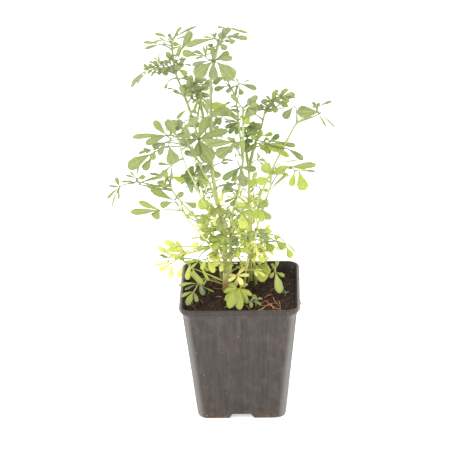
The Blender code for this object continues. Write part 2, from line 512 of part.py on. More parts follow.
def add_pinna(surface, left, right, along, normal, length, width):
    """A side branch of a leaf: a rib with a pair of leaflets and one at its end."""
    foot = (surface.points[left] + surface.points[right]) / 2
    edges = []
    for share in (SIDE_TRIO.place, SIDE_TRIO.place + LEAFLET_FOOT / length):
        middle = foot + along * length * share
        edges.append(edge_of_ribbon(surface, middle, along, normal, STALK))
    surface.add_quad(left, right, edges[0][1], edges[0][0])
    surface.add_quad(edges[0][0], edges[0][1], edges[1][1], edges[1][0])
    add_pair(surface, SIDE_TRIO, edges, along, normal, length, width)
    end_length = length * (1 - SIDE_TRIO.place) - LEAFLET_FOOT
    add_leaflet(surface, *edges[1], along, normal, end_length, end_length * width)


def add_pair(surface, pair, edges, axis, normal, length, width):
    """A pair of side leaflets or side branches, which grow from the rib's edges between two rows."""
    near, far = edges
    across = normal.cross(axis).normalized()
    turn = radians(pair.angle)
    side_length = length * pair.length
    for side in (1, -1):
        out = axis * cos(turn) + across * side * sin(turn)
        grow_from = (near[0], far[0]) if side > 0 else (far[1], near[1])
        if pair.leaflets == 3:
            add_pinna(surface, *grow_from, out, normal, side_length, width)
        else:
            add_leaflet(surface, *grow_from, out, normal, side_length, side_length * width)


def rib_distances(kind, length, on_stem):
    """How far from the hub a rib's rows of edge points lie: two rows for each pair of leaflets."""
    distances = []
    for pair in KINDS[kind]:
        distances += [pair.place * length, pair.place * length + LEAFLET_FOOT]
    if on_stem:
        distances.insert(0, -SINK)
    elif not distances:
        distances.append(0.0)
    return distances


def add_ribbon(surface, middles, axis, normal):
    """A ribbon along a line of points, and the edge points of each of its rows."""
    edges = []
    for number, middle in enumerate(middles):
        ahead = middles[min(number + 1, len(middles) - 1)] - middles[max(number - 1, 0)]
        direction = ahead.normalized() if ahead.length > 0 else axis
        edges.append(edge_of_ribbon(surface, middle, direction, normal, STALK))
    for near, far in zip(edges, edges[1:]):
        surface.add_quad(near[0], near[1], far[1], far[0])
    return edges


def leaf_surface(leaf, start, faces):
    """The open surface of one leaf: stalk, rib and leaflets, and the point its next leaf grows from."""
    hub = placed(leaf.hub)
    tip = placed(leaf.tip)
    on_stem = (hub - start).length < 3 * STALK
    if on_stem:
        hub = start.copy()
    axis = (tip - hub).normalized()
    length = (tip - hub).length
    normal = leaf_normal(axis, faces, leaf.tilt)
    distances = rib_distances(leaf.kind, length, on_stem)
    middles = [] if on_stem else stalk_points(start, hub, axis)
    middles += [hub + axis * distance for distance in distances]
    surface = Surface()
    edges = add_ribbon(surface, middles, axis, normal)
    pairs = KINDS[leaf.kind]
    first = len(middles) - 2 * len(pairs)
    for number, pair in enumerate(pairs):
        rows = edges[first + 2 * number:first + 2 * number + 2]
        add_pair(surface, pair, rows, axis, normal, length, leaf.width)
    end_length = length - max(0.0, distances[-1])
    add_leaflet(surface, *edges[-1], axis, normal, end_length, end_length * leaf.width)
    return surface, hub


def smooth_path(points, step):
    """Points about one step apart on a smooth curve through the given points."""
    given = [Vector(p) for p in points]
    given = [given[0] * 2 - given[1]] + given + [given[-1] * 2 - given[-2]]
    path = []
    for before, a, b, after in zip(given, given[1:], given[2:], given[3:]):
        steps = max(1, round((b - a).length / step))
        for number in range(steps):
            t = number / steps
            path.append((a * 2 + (b - before) * t + (before * 2 - a * 5 + b * 4 - after) * t * t
                         + (a * 3 - before - b * 3 + after) * t ** 3) / 2)
    path.append(given[-2])
    return path


def nearest_on_path(path, point):
    """The closest point of a path's legs to a point, and its share of the way along."""
    best = None
    for number, (a, b) in enumerate(zip(path, path[1:])):
        leg = b - a
        t = min(1.0, max(0.0, (point - a).dot(leg) / leg.length_squared))
        distance = (a + leg * t - point).length
        if best is None or distance < best[0]:
            best = (distance, a + leg * t, (number + t) / (len(path) - 1))
    return best[1], best[2]


def point_at_height(path, height):
    """The point of a rising path at a height, or its nearer end."""
    for a, b in zip(path, path[1:]):
        if min(a.z, b.z) <= height <= max(a.z, b.z) and a.z != b.z:
            return a.lerp(b, (height - a.z) / (b.z - a.z))
    ends = sorted((path[0], path[-1]), key=lambda end: abs(end.z - height))
    return ends[0].copy()


def stem_route(stem, stems):
    """A stem's centre line: down into the soil, or seated beside the stem that carries it."""
    path = [placed(spot) for spot in stem.path]
    if stem.root == "soil":
        path.insert(0, Vector((path[0].x, path[0].y, SOIL_Z - STEM_DEPTH)))
    elif stem.root != "crown_top":
        parent = stems[stem.root]
        carrier = stem_route(parent, stems)
        on_parent, share = nearest_on_path(carrier, path[0])
        radius = parent.foot_radius + (parent.top_radius - parent.foot_radius) * share
        leg = min(len(carrier) - 2, int(share * (len(carrier) - 1)))
        rise = (carrier[leg + 1] - carrier[leg]).normalized()
        side = path[1] - on_parent
        side = (side - rise * side.dot(rise)).normalized()
        path[0] = on_parent + side * (radius + stem.foot_radius + SEAT)
    return smooth_path(path, STEM_STEP)


def stem_radii(stem, route):
    count = len(route) - 1
    return [stem.foot_radius + (stem.top_radius - stem.foot_radius) * n / count for n in range(count + 1)]


def leaf_surfaces(stem, route):
    """Every leaf of a stem as an open surface, each from the stem or from the last leaf's hub."""
    surfaces = []
    hub = None
    path = [placed(spot) for spot in stem.path]
    for leaf in stem.leaves:
        start = hub
        if leaf.start is not None:
            height = height_in_row(path, leaf.start.down) if isinstance(leaf.start, Row) else leaf.start
            start = point_at_height(route, height)
        surface, hub = leaf_surface(leaf, start, stem.faces)
        surfaces.append(surface)
    return surfaces


def new_object(name, mesh, collection):
    item = bpy.data.objects.new(name, mesh)
    collection.objects.link(item)
    return item


def solid_from_surface(name, surface, collection):
    """A leaf's open surface as a closed blade."""
    mesh = bpy.data.meshes.new(name)
    mesh.from_pydata([p * MM for p in surface.points], [], surface.triangles)
    item = new_object(name, mesh, collection)
    wall = item.modifiers.new("Blade", "SOLIDIFY")
    wall.thickness = BLADE * MM
    wall.offset = 0
    return item


def apply_modifiers(item, collection):
    """Swap an object for a plain mesh of what its modifiers make."""
    bpy.context.view_layer.update()
    evaluated = item.evaluated_get(bpy.context.evaluated_depsgraph_get())
    mesh = bpy.data.meshes.new_from_object(evaluated)
    name = item.name
    bpy.data.objects.remove(item)
    plain = new_object(name, mesh, collection)
    plain.name = name
    return plain


def tube(name, route, radii, collection):
    """A tapered tube along a route, as a closed mesh."""
    curve = bpy.data.curves.new(name, "CURVE")
    curve.dimensions = "3D"
    curve.bevel_depth = MM
    curve.bevel_resolution = 1 if radii[0] > THIN_STEM else 0
    curve.use_fill_caps = True
    spline = curve.splines.new("POLY")
    spline.points.add(len(route) - 1)
    for point, place, radius in zip(spline.points, route, radii):
        point.co = (*(place * MM), 1)
        point.radius = radius
    item = apply_modifiers(new_object(name, curve, collection), collection)
    shape = bmesh.new()
    shape.from_mesh(item.data)
    bmesh.ops.remove_doubles(shape, verts=shape.verts, dist=WELD)
    bmesh.ops.recalc_face_normals(shape, faces=shape.faces)
    shape.to_mesh(item.data)
    shape.free()
    return item


def rounded_square(half, corner, height):
    """Points round a square with rounded corners, corner by corner."""
    points = []
    for quarter in range(4):
        turn = quarter * pi / 2
        centre = Vector((half - corner, half - corner, 0))
        centre.rotate(Matrix.Rotation(turn, 3, "Z"))
        for step in range(CORNER_STEPS + 1):
            angle = turn + step / CORNER_STEPS * pi / 2
            points.append(centre + Vector((cos(angle) * corner, sin(angle) * corner, height)))
    return points


def ribbed_square(half, corner, height):
    """The pot's outer section: fine upright ribs on its flat sides and plain rounded corners."""
    points = []
    corners = rounded_square(half, corner, height)
    per_corner = CORNER_STEPS + 1
    for quarter in range(4):
        points += corners[quarter * per_corner:(quarter + 1) * per_corner]
        a = corners[(quarter + 1) * per_corner - 1]
        b = corners[(quarter + 1) * per_corner % len(corners)]
        inward = Vector((-(a + b).x, -(a + b).y, 0)).normalized()
        for number in range(1, 2 * RIBS_PER_SIDE):
            place = a.lerp(b, number / (2 * RIBS_PER_SIDE))
            points.append(place + inward * RIB_DEPTH * (number % 2))
    return points


def loft(name, rings, collection):
    """A closed solid through rings of points that have the same count, capped at both ends."""
    shape = bmesh.new()
    rows = [[shape.verts.new(p * MM) for p in ring] for ring in rings]
    count = len(rows[0])
    for low, high in zip(rows, rows[1:]):
        for n in range(count):
            m = (n + 1) % count
            shape.faces.new((low[n], low[m], high[m], high[n]))
    shape.faces.new(rows[0][::-1])
    shape.faces.new(rows[-1])
    bmesh.ops.recalc_face_normals(shape, faces=shape.faces)
    mesh = bpy.data.meshes.new(name)
    shape.to_mesh(mesh)
    shape.free()
    return new_object(name, mesh, collection)


def cylinder(name, sides, radius, depth, middle, collection):
    """An upright cylinder that serves as a cutter."""
    bpy.ops.mesh.primitive_cylinder_add(vertices=sides, radius=radius * MM, depth=depth * MM,
                                        location=middle * MM)
    item = bpy.context.object
    item.name = name
    for holder in item.users_collection:
        holder.objects.unlink(item)
    collection.objects.link(item)
    return item


def combine(item, operation, other, solver="EXACT"):
    modifier = item.modifiers.new(operation.title(), "BOOLEAN")
    modifier.operation = operation
    modifier.solver = solver
    if isinstance(other, bpy.types.Collection):
        modifier.operand_type = "COLLECTION"
        modifier.collection = other
    else:
        modifier.object = other


def body_half(height):
    """Half the pot's outer width at a height on its tapered body."""
    return (FOOT_WIDTH + (SHOULDER_WIDTH - FOOT_WIDTH) * height / SHOULDER_Z) / 2


def body_corner(height):
    return FOOT_CORNER + (RIM_CORNER - FOOT_CORNER) * height / SHOULDER_Z


def inner_ring(height, gap=0.0):
    """The inside of the pot's wall at a height, or a ring that keeps a gap to it."""
    inset = WALL + RIB_DEPTH / 2 + gap
    return rounded_square(body_half(height) - inset, body_corner(height) - inset, height)


def make_pot(parts, cutters):
    body = [ribbed_square(body_half(z), body_corner(z), z) for z in (0, SHOULDER_Z)]
    pot = loft("pot", body, parts)
    combine(pot, "UNION", rim_band(cutters))
    cavity = loft("cavity", [
        inner_ring(FLOOR_Z + FLOOR_THICKNESS),
        inner_ring(SHOULDER_Z),
        rounded_square(body_half(POT_HEIGHT) - WALL, RIM_CORNER - 2 * WALL, POT_HEIGHT + CUT_PAST),
    ], cutters)
    combine(pot, "DIFFERENCE", cavity)
    combine(pot, "DIFFERENCE", foot_recess(cutters))
    for number in range(4):
        combine(pot, "DIFFERENCE", foot_notch(number, cutters))
        combine(pot, "DIFFERENCE", drain_hole(number, cutters))


def rim_band(cutters):
    """The flared band and the lip on top of it, as one block the pot's cavity is then cut from."""
    band_low = SHOULDER_Z - EDGE_ROUND
    lip_low = POT_HEIGHT - LIP_HEIGHT
    rim_half = RIM_WIDTH / 2
    return loft("rim_band", [
        rounded_square(body_half(band_low) + SHOULDER_STEP, RIM_CORNER, band_low),
        rounded_square(BAND_TOP_WIDTH / 2, RIM_CORNER, lip_low),
        rounded_square(rim_half, RIM_CORNER, lip_low + LIP_SLOPE),
        rounded_square(rim_half, RIM_CORNER, POT_HEIGHT - EDGE_ROUND),
        rounded_square(rim_half - EDGE_ROUND, RIM_CORNER - EDGE_ROUND, POT_HEIGHT),
    ], cutters)


def foot_recess(cutters):
    """The hollow under the raised floor, with its corners cut off to leave four foot pads."""
    half = FOOT_WIDTH / 2 - SKIRT
    outline = []
    for quarter in range(4):
        for x, y in ((half, half - FOOT_PAD), (half - FOOT_PAD, half)):
            point = Vector((x, y, 0))
            point.rotate(Matrix.Rotation(quarter * pi / 2, 3, "Z"))
            outline.append(point)
    low = [p - UP * CUT_PAST for p in outline]
    high = [p + UP * FLOOR_Z for p in outline]
    return loft("foot_recess", [low, high], cutters)


def foot_notch(number, cutters):
    """The trapezoid gap in the middle of one side of the foot."""
    flare = (NOTCH_FOOT_WIDTH - NOTCH_TOP_WIDTH) / 2 / NOTCH_HEIGHT
    low = NOTCH_FOOT_WIDTH / 2 + flare * CUT_PAST
    high = NOTCH_TOP_WIDTH / 2
    outline = ((-low, -CUT_PAST), (low, -CUT_PAST), (high, NOTCH_HEIGHT), (-high, NOTCH_HEIGHT))
    rings = []
    for y in (FOOT_WIDTH / 2 - 3 * SKIRT, FOOT_WIDTH / 2 + 3 * SKIRT):
        rings.append([Vector((x, y, z)) for x, z in outline])
    notch = loft(f"foot_notch_{number}", rings, cutters)
    notch.rotation_euler.z = number * pi / 2
    return notch


def drain_hole(number, cutters):
    """A round hole through the floor, in line with one side's middle."""
    angle = number * pi / 2
    middle = Vector((cos(angle) * DRAIN_OFFSET, sin(angle) * DRAIN_OFFSET, FLOOR_Z))
    return cylinder(f"drain_{number}", DRAIN_SIDES, DRAIN_RADIUS, 4 * FLOOR_THICKNESS, middle, cutters)


def soil_height(x, y):
    """The lumpy surface of the soil."""
    broad = sin(x * 0.31 + 1.1) * cos(y * 0.27 - 0.4)
    fine = sin(x * 0.62 - y * 0.48 + 2.0)
    return SOIL_Z + BROAD_LUMPS * broad + FINE_LUMPS * fine


def make_soil(parts):
    """The block of soil, which keeps a small gap to the pot's wall and floor."""
    rings = [inner_ring(z, SEAT) for z in (FLOOR_Z + FLOOR_THICKNESS + SEAT, SOIL_Z - SOIL_EDGE)]
    edge = inner_ring(SOIL_Z, SEAT)
    for number in range(SOIL_RINGS):
        share = 1 - number / SOIL_RINGS
        flat = [(p.x * share, p.y * share) for p in edge]
        rings.append([Vector((x, y, soil_height(x, y))) for x, y in flat])
    return loft("soil", rings, parts)


def stem_hole(stem, cutters):
    """The plain hole in the soil that a stem or the crown stands in; its flat sides clear the stem."""
    foot = placed(stem.path[0])
    middle = Vector((foot.x, foot.y, SOIL_Z))
    radius = (stem.foot_radius + SEAT) / cos(pi / HOLE_SIDES)
    return cylinder("hole_" + stem.name, HOLE_SIDES, radius, 2 * (STEM_DEPTH + SEAT), middle, cutters)


def make_leafy_stem(stem, stems, parts):
    """A stem with all its leaves as one solid."""
    route = stem_route(stem, stems)
    item = tube(stem.name, route, stem_radii(stem, route), parts)
    if stem.leaves:
        blades = bpy.data.collections.new("blades_of_" + stem.name)
        bpy.context.scene.collection.children.link(blades)
        for number, surface in enumerate(leaf_surfaces(stem, route)):
            blade = solid_from_surface(f"{stem.name}_blade_{number}", surface, blades)
            apply_modifiers(blade, blades)
        combine(item, "UNION", blades, "MANIFOLD")
        apply_modifiers(item, parts)
        for blade in list(blades.objects):
            bpy.data.objects.remove(blade)
        bpy.data.collections.remove(blades)


def material(name, colour, roughness):
    made = bpy.data.materials.new(name)
    made.use_nodes = True
    shader = made.node_tree.nodes["Principled BSDF"]
    shader.inputs["Base Color"].default_value = (*colour, 1)
    shader.inputs["Roughness"].default_value = roughness
    made.diffuse_color = (*colour, 1)
    return made


# Colour and roughness of each sub-part; a stem that isn't named here has the green of the upper leaves.
FINISHES = {
    "pot": ((0.13, 0.115, 0.105), 0.55),
    "soil": ((0.028, 0.016, 0.012), 0.95),
    "crown": ((0.30, 0.17, 0.08), 0.80),
    "leaf_yellow_left": ((0.80, 0.76, 0.22), 0.60),
    "leaf_star": ((0.82, 0.78, 0.20), 0.60),
    "leaf_round": ((0.46, 0.56, 0.16), 0.60),
    "leaf_pale_right": ((0.62, 0.70, 0.38), 0.60),
    "leaf_front": ((0.48, 0.60, 0.18), 0.60),
    "leaf_low_left": ((0.38, 0.50, 0.24), 0.60),
}
LEAF_GREEN = ((0.36, 0.48, 0.22), 0.60)
SHARP_ANGLE = 30


def dress(item):
    colour, roughness = FINISHES.get(item.name, LEAF_GREEN)
    item.data.materials.clear()
    item.data.materials.append(material(item.name + "_finish", colour, roughness))
    item.data.shade_smooth()
    item.data.set_sharp_from_angle(angle=radians(SHARP_ANGLE))


def build():
    for old in list(bpy.data.objects):
        bpy.data.objects.remove(old)
    parts = bpy.data.collections.new("potted_rue")
    cutters = bpy.data.collections.new("cutters")
    for collection in (parts, cutters):
        bpy.context.scene.collection.children.link(collection)
    make_pot(parts, cutters)
    soil = make_soil(parts)
    stems = {stem.name: stem for stem in [CROWN, *PLANT]}
    for stem in stems.values():
        make_leafy_stem(stem, stems, parts)
        if stem.root == "soil":
            combine(soil, "DIFFERENCE", stem_hole(stem, cutters))
    frame = bpy.data.objects.new("potted_rue_frame", None)
    for item in parts.objects:
        dress(item)
        item.parent = frame
    for cutter in cutters.objects:
        cutter.hide_render = True
        cutter.display_type = "WIRE"
        cutter.parent = frame
    parts.objects.link(frame)
    frame.location = (POT_AXIS[0] * MM, POT_AXIS[1] * MM, 0)


build()
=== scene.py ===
# %% [markdown]
# # A young rue in a square nursery pot
#
# Rue is a herb with thin, forking stems and grey-green leaves that are cut up into small spoon-shaped
# leaflets. This one is young: a woody foot, a few stems that lean apart, a dense tuft of small yellowing
# leaves low down, and fine fans of leaflets at the tips. It stands in a tapered square plastic pot.
# The lesson dresses a finished mechanical model: the model gives every place and size, and each step below
# adds the shape and the finish that a camera would see.

from collections import namedtuple
from math import ceil, cos, degrees, pi, radians, sin, tau
from random import Random

import bmesh
import bpy
from mathutils import Matrix, Vector


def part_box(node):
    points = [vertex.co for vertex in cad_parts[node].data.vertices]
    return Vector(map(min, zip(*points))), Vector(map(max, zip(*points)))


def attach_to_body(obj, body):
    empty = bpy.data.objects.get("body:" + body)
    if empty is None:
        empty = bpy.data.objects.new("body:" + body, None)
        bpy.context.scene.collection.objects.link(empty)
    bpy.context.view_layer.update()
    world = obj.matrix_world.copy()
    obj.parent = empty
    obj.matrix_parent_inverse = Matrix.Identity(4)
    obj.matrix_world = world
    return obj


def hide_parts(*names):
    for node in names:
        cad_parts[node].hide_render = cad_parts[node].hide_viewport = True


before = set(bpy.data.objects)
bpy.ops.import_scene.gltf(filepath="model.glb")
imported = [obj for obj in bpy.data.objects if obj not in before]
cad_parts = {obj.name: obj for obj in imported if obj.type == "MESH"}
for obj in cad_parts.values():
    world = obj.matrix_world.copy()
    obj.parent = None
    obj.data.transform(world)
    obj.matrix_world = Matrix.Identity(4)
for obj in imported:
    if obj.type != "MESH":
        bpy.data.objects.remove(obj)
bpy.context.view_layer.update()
MM = 0.001

# %% [markdown]
# ## Where things are
#
# The model's origin is the middle of its whole footprint, but a pot is easiest to draw round its own axis.
# So places in this lesson are in millimetres from the middle of the pot's foot, and one small function
# turns such a place into the model's metres. The pot's solid tells where that axis is.

# %% The pot's own axis
pot_low, pot_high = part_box("pot")
POT_X = (pot_low.x + pot_high.x) / 2
POT_Y = (pot_low.y + pot_high.y) / 2
POT_HEIGHT = (pot_high.z - pot_low.z) / MM
RIM_HALF = (pot_high.x - pot_low.x) / 2 / MM


def place(point):
    """A place in the pot's millimetres as a place in the model's metres."""
    x, y, z = point
    return Vector((POT_X + x * MM, POT_Y + y * MM, z * MM))


print("pot axis in mm", round(POT_X / MM, 2), round(POT_Y / MM, 2), "rim half", round(RIM_HALF, 2))

# %% [markdown]
# ## Camera
#
# The photograph was taken with a long lens from a little above the rim, which keeps the pot's sides almost
# parallel. The camera's distance and height were worked out from the corners of the rim and the foot, so it
# is placed from angles: a bearing, a height above the horizon, a distance, and a slight roll.

# %% Camera
BEARING = radians(1.65)
ELEVATION = radians(23.7)
ROLL = radians(-1.31)
DISTANCE = 1797
LENS = 192.0
SENSOR = 36.0
TARGET = (-9.6, -0.3, 144.8)

camera_data = bpy.data.cameras.new("camera")
camera_data.lens = LENS
camera_data.sensor_width = SENSOR
camera_data.clip_start = 0.1
camera_data.clip_end = 20
camera = bpy.data.objects.new("camera", camera_data)
bpy.context.scene.collection.objects.link(camera)
back = Vector((sin(BEARING) * cos(ELEVATION), -cos(BEARING) * cos(ELEVATION), sin(ELEVATION)))
right = Vector((cos(BEARING), sin(BEARING), 0))
up = back.cross(right)
turned_right = right * cos(ROLL) + up * sin(ROLL)
turned_up = up * cos(ROLL) - right * sin(ROLL)
stand = Matrix((turned_right, turned_up, back)).transposed().to_4x4()
stand.translation = place(TARGET) + back * DISTANCE * MM
camera.matrix_world = stand
bpy.context.scene.camera = camera
print("camera at", [round(c, 3) for c in stand.translation])

# %% [markdown]
# ## From the photograph to a place
#
# A small leaf is easier to point at than to measure. So much of the plant is given by where it is seen in
# the photograph, in pixels across and down a picture 452 pixels wide, with a given depth. The line of sight
# through that pixel is followed until it reaches the depth, and that is the place in millimetres.

# %% Sights and places
IMAGE_SIZE = 452
FOCAL = LENS / SENSOR * IMAGE_SIZE
EYE = Vector(TARGET) + back * DISTANCE


def line_of_sight(across, down):
    """The way that the camera looks through a pixel."""
    return turned_right * (across - IMAGE_SIZE / 2) - turned_up * (down - IMAGE_SIZE / 2) - back * FOCAL


def seen(across, down, depth):
    """The place in the pot's millimetres that is seen at a pixel, as far back as the depth says."""
    sight = line_of_sight(across, down)
    return EYE + sight * (depth - EYE.y) / sight.y


def seen_on_level(across, down, height):
    """The place that is seen at a pixel on something flat, such as the soil, at a height."""
    sight = line_of_sight(across, down)
    return EYE + sight * (height - EYE.z) / sight.z


def row_of(point):
    """The row of the picture in which a place is seen."""
    offset = point - EYE
    return IMAGE_SIZE / 2 + FOCAL * offset.dot(turned_up) / offset.dot(back)


def placed(spot):
    """A spot of the plan as a place: a Vector is one already, and three plain numbers are a sight."""
    return spot if isinstance(spot, Vector) else seen(*spot)


check = seen(226, 100, 5)
print("row 100 comes back as", round(row_of(check), 3), "at", [round(c, 1) for c in check])

# %% [markdown]
# ## Light
#
# The picture is a bright studio shot: white all round and soft light from every side, with a little more of
# it from the upper left. A white world gives the fill and a large soft lamp in front gives the direction.
# A lamp at each side keeps the pot's sides from going black, and one above and behind lights the leaf edges.

# %% World and lamps
world = bpy.data.worlds.new("white_studio")
world.use_nodes = True
background = world.node_tree.nodes["Background"]
background.inputs["Color"].default_value = (1.0, 1.0, 1.0, 1)
background.inputs["Strength"].default_value = 1.0
bpy.context.scene.world = world
bpy.context.scene.view_settings.view_transform = "Standard"

Lamp = namedtuple("Lamp", "name position size power")
LAMPS = [
    Lamp("key_lamp", (-0.9, -1.1, 1.3), 0.9, 15),
    Lamp("right_lamp", (1.5, -0.25, 0.5), 0.7, 12),
    Lamp("left_lamp", (-1.5, -0.15, 0.5), 0.7, 4),
    Lamp("top_lamp", (0.1, 0.6, 1.5), 0.8, 10),
]
LAMPS_LOOK_AT = Vector((0, 0, 0.13))


def add_lamp(lamp):
    """A large square lamp that looks at the middle of the plant."""
    data = bpy.data.lights.new(lamp.name, "AREA")
    data.size = lamp.size
    data.energy = lamp.power
    made = bpy.data.objects.new(lamp.name, data)
    made.location = lamp.position
    aim = LAMPS_LOOK_AT - Vector(lamp.position)
    made.rotation_euler = aim.to_track_quat("-Z", "Y").to_euler()
    bpy.context.scene.collection.objects.link(made)


for lamp in LAMPS:
    add_lamp(lamp)
print("lamps", len(LAMPS))

# %% [markdown]
# ## A helper for node trees
#
# Materials and Geometry Nodes are both trees of nodes, and writing each link by hand would bury the idea of
# a tree under its bookkeeping. This helper adds one node, fills its sockets in order or by name, and returns
# it, so that a tree reads like a formula. A value goes onto the socket, and another node's output is linked.

# %% Wiring
COLOUR_A = 6
COLOUR_B = 7
COLOUR_RESULT = 2


class Wiring:
    """Adds nodes to a tree and joins them up."""

    def __init__(self, tree):
        self.tree = tree

    def feed(self, socket, value):
        """Link another node's output to a socket, or set the socket's own value."""
        if isinstance(value, bpy.types.NodeSocket):
            self.tree.links.new(value, socket)
        elif value is not None:
            socket.default_value = value

    def node(self, kind, *values, feeds=None, **settings):
        """A new node, with its settings and what feeds its sockets."""
        made = self.tree.nodes.new(kind)
        for key, value in settings.items():
            setattr(made, key, value)
        for number, value in enumerate(values):
            self.feed(made.inputs[number], value)
        for name, value in (feeds or {}).items():
            self.feed(made.inputs[name], value)
        return made

    def math(self, operation, *values):
        """What a Math node makes of numbers."""
        return self.node("ShaderNodeMath", *values, operation=operation).outputs[0]

    def product(self, first, *others):
        """Numbers multiplied one after another."""
        for other in others:
            first = self.math("MULTIPLY", first, other)
        return first

    def vector(self, operation, *values):
        """What a Vector Math node makes of vectors."""
        return self.node("ShaderNodeVectorMath", *values, operation=operation).outputs["Vector"]

    def times(self, vector, amount):
        """A vector made longer or shorter."""
        made = self.node("ShaderNodeVectorMath", vector, operation="SCALE", feeds={"Scale": amount})
        return made.outputs["Vector"]

    def spread(self, value, low, high, to_low=0.0, to_high=1.0):
        """A value moved from one range to another and held inside it."""
        return self.node("ShaderNodeMapRange", value, low, high, to_low, to_high).outputs[0]

    def mix(self, amount, first, second):
        """Two colours mixed; on a Mix node the sockets for colours come after those for other data."""
        made = self.node("ShaderNodeMix", data_type="RGBA")
        self.feed(made.inputs[0], amount)
        self.feed(made.inputs[COLOUR_A], first)
        self.feed(made.inputs[COLOUR_B], second)
        return made.outputs[COLOUR_RESULT]


def new_tree(name, kind, inputs, outputs):
    """An empty node group with named inputs and outputs."""
    tree = bpy.data.node_groups.new(name, kind)
    for label, socket_type, value in inputs:
        socket = tree.interface.new_socket(label, in_out="INPUT", socket_type=socket_type)
        if value is not None:
            socket.default_value = value
    for label, socket_type in outputs:
        tree.interface.new_socket(label, in_out="OUTPUT", socket_type=socket_type)
    wiring = Wiring(tree)
    start = wiring.node("NodeGroupInput")
    end = wiring.node("NodeGroupOutput")
    return tree, wiring, start.outputs, end.inputs


print("wiring ready")

# %% [markdown]
# ## The plan of the plant
#
# A plant's exact growth follows no formula, so it is written down as a gardener would sketch it: stem by
# stem, with the spots each stem passes and the leaves along it. A spot is a sight, which is a pixel across,
# a pixel down and a depth, or a Vector in millimetres where the photograph hides it. A leaf's stalk starts
# where the stem crosses a row of the picture, at a height in millimetres, or on the last leaf's hub where
# that is None. It reaches its hub, and its end leaflet ends at its tip. Its upper side looks along the
# stem's bearing, raised by the leaf's tilt. The last value says how yellow a leaf is, or how deep a green
# where it is below nothing, if that doesn't follow from its height. A fan is a bunch of single leaflets on
# one hub, whose stalk starts a drop below the hub. The main leaves stand where the mechanical model has
# them, and the small ones between them are added here.

# %% The plan
Stem = namedtuple("Stem", "name root foot_radius top_radius faces path leaves")
Leaf = namedtuple("Leaf", "start hub tip kind width tilt yellow", defaults=[None])
Row = namedtuple("Row", "down")


def fan(drop, hub, tips):
    """Single leaflets on one hub; with no drop they leave the last leaf's hub."""
    start = None if drop is None else placed(hub).z - drop
    return [Leaf(None if number else start, hub, tip[:3], "one", *tip[3:]) for number, tip in enumerate(tips)]


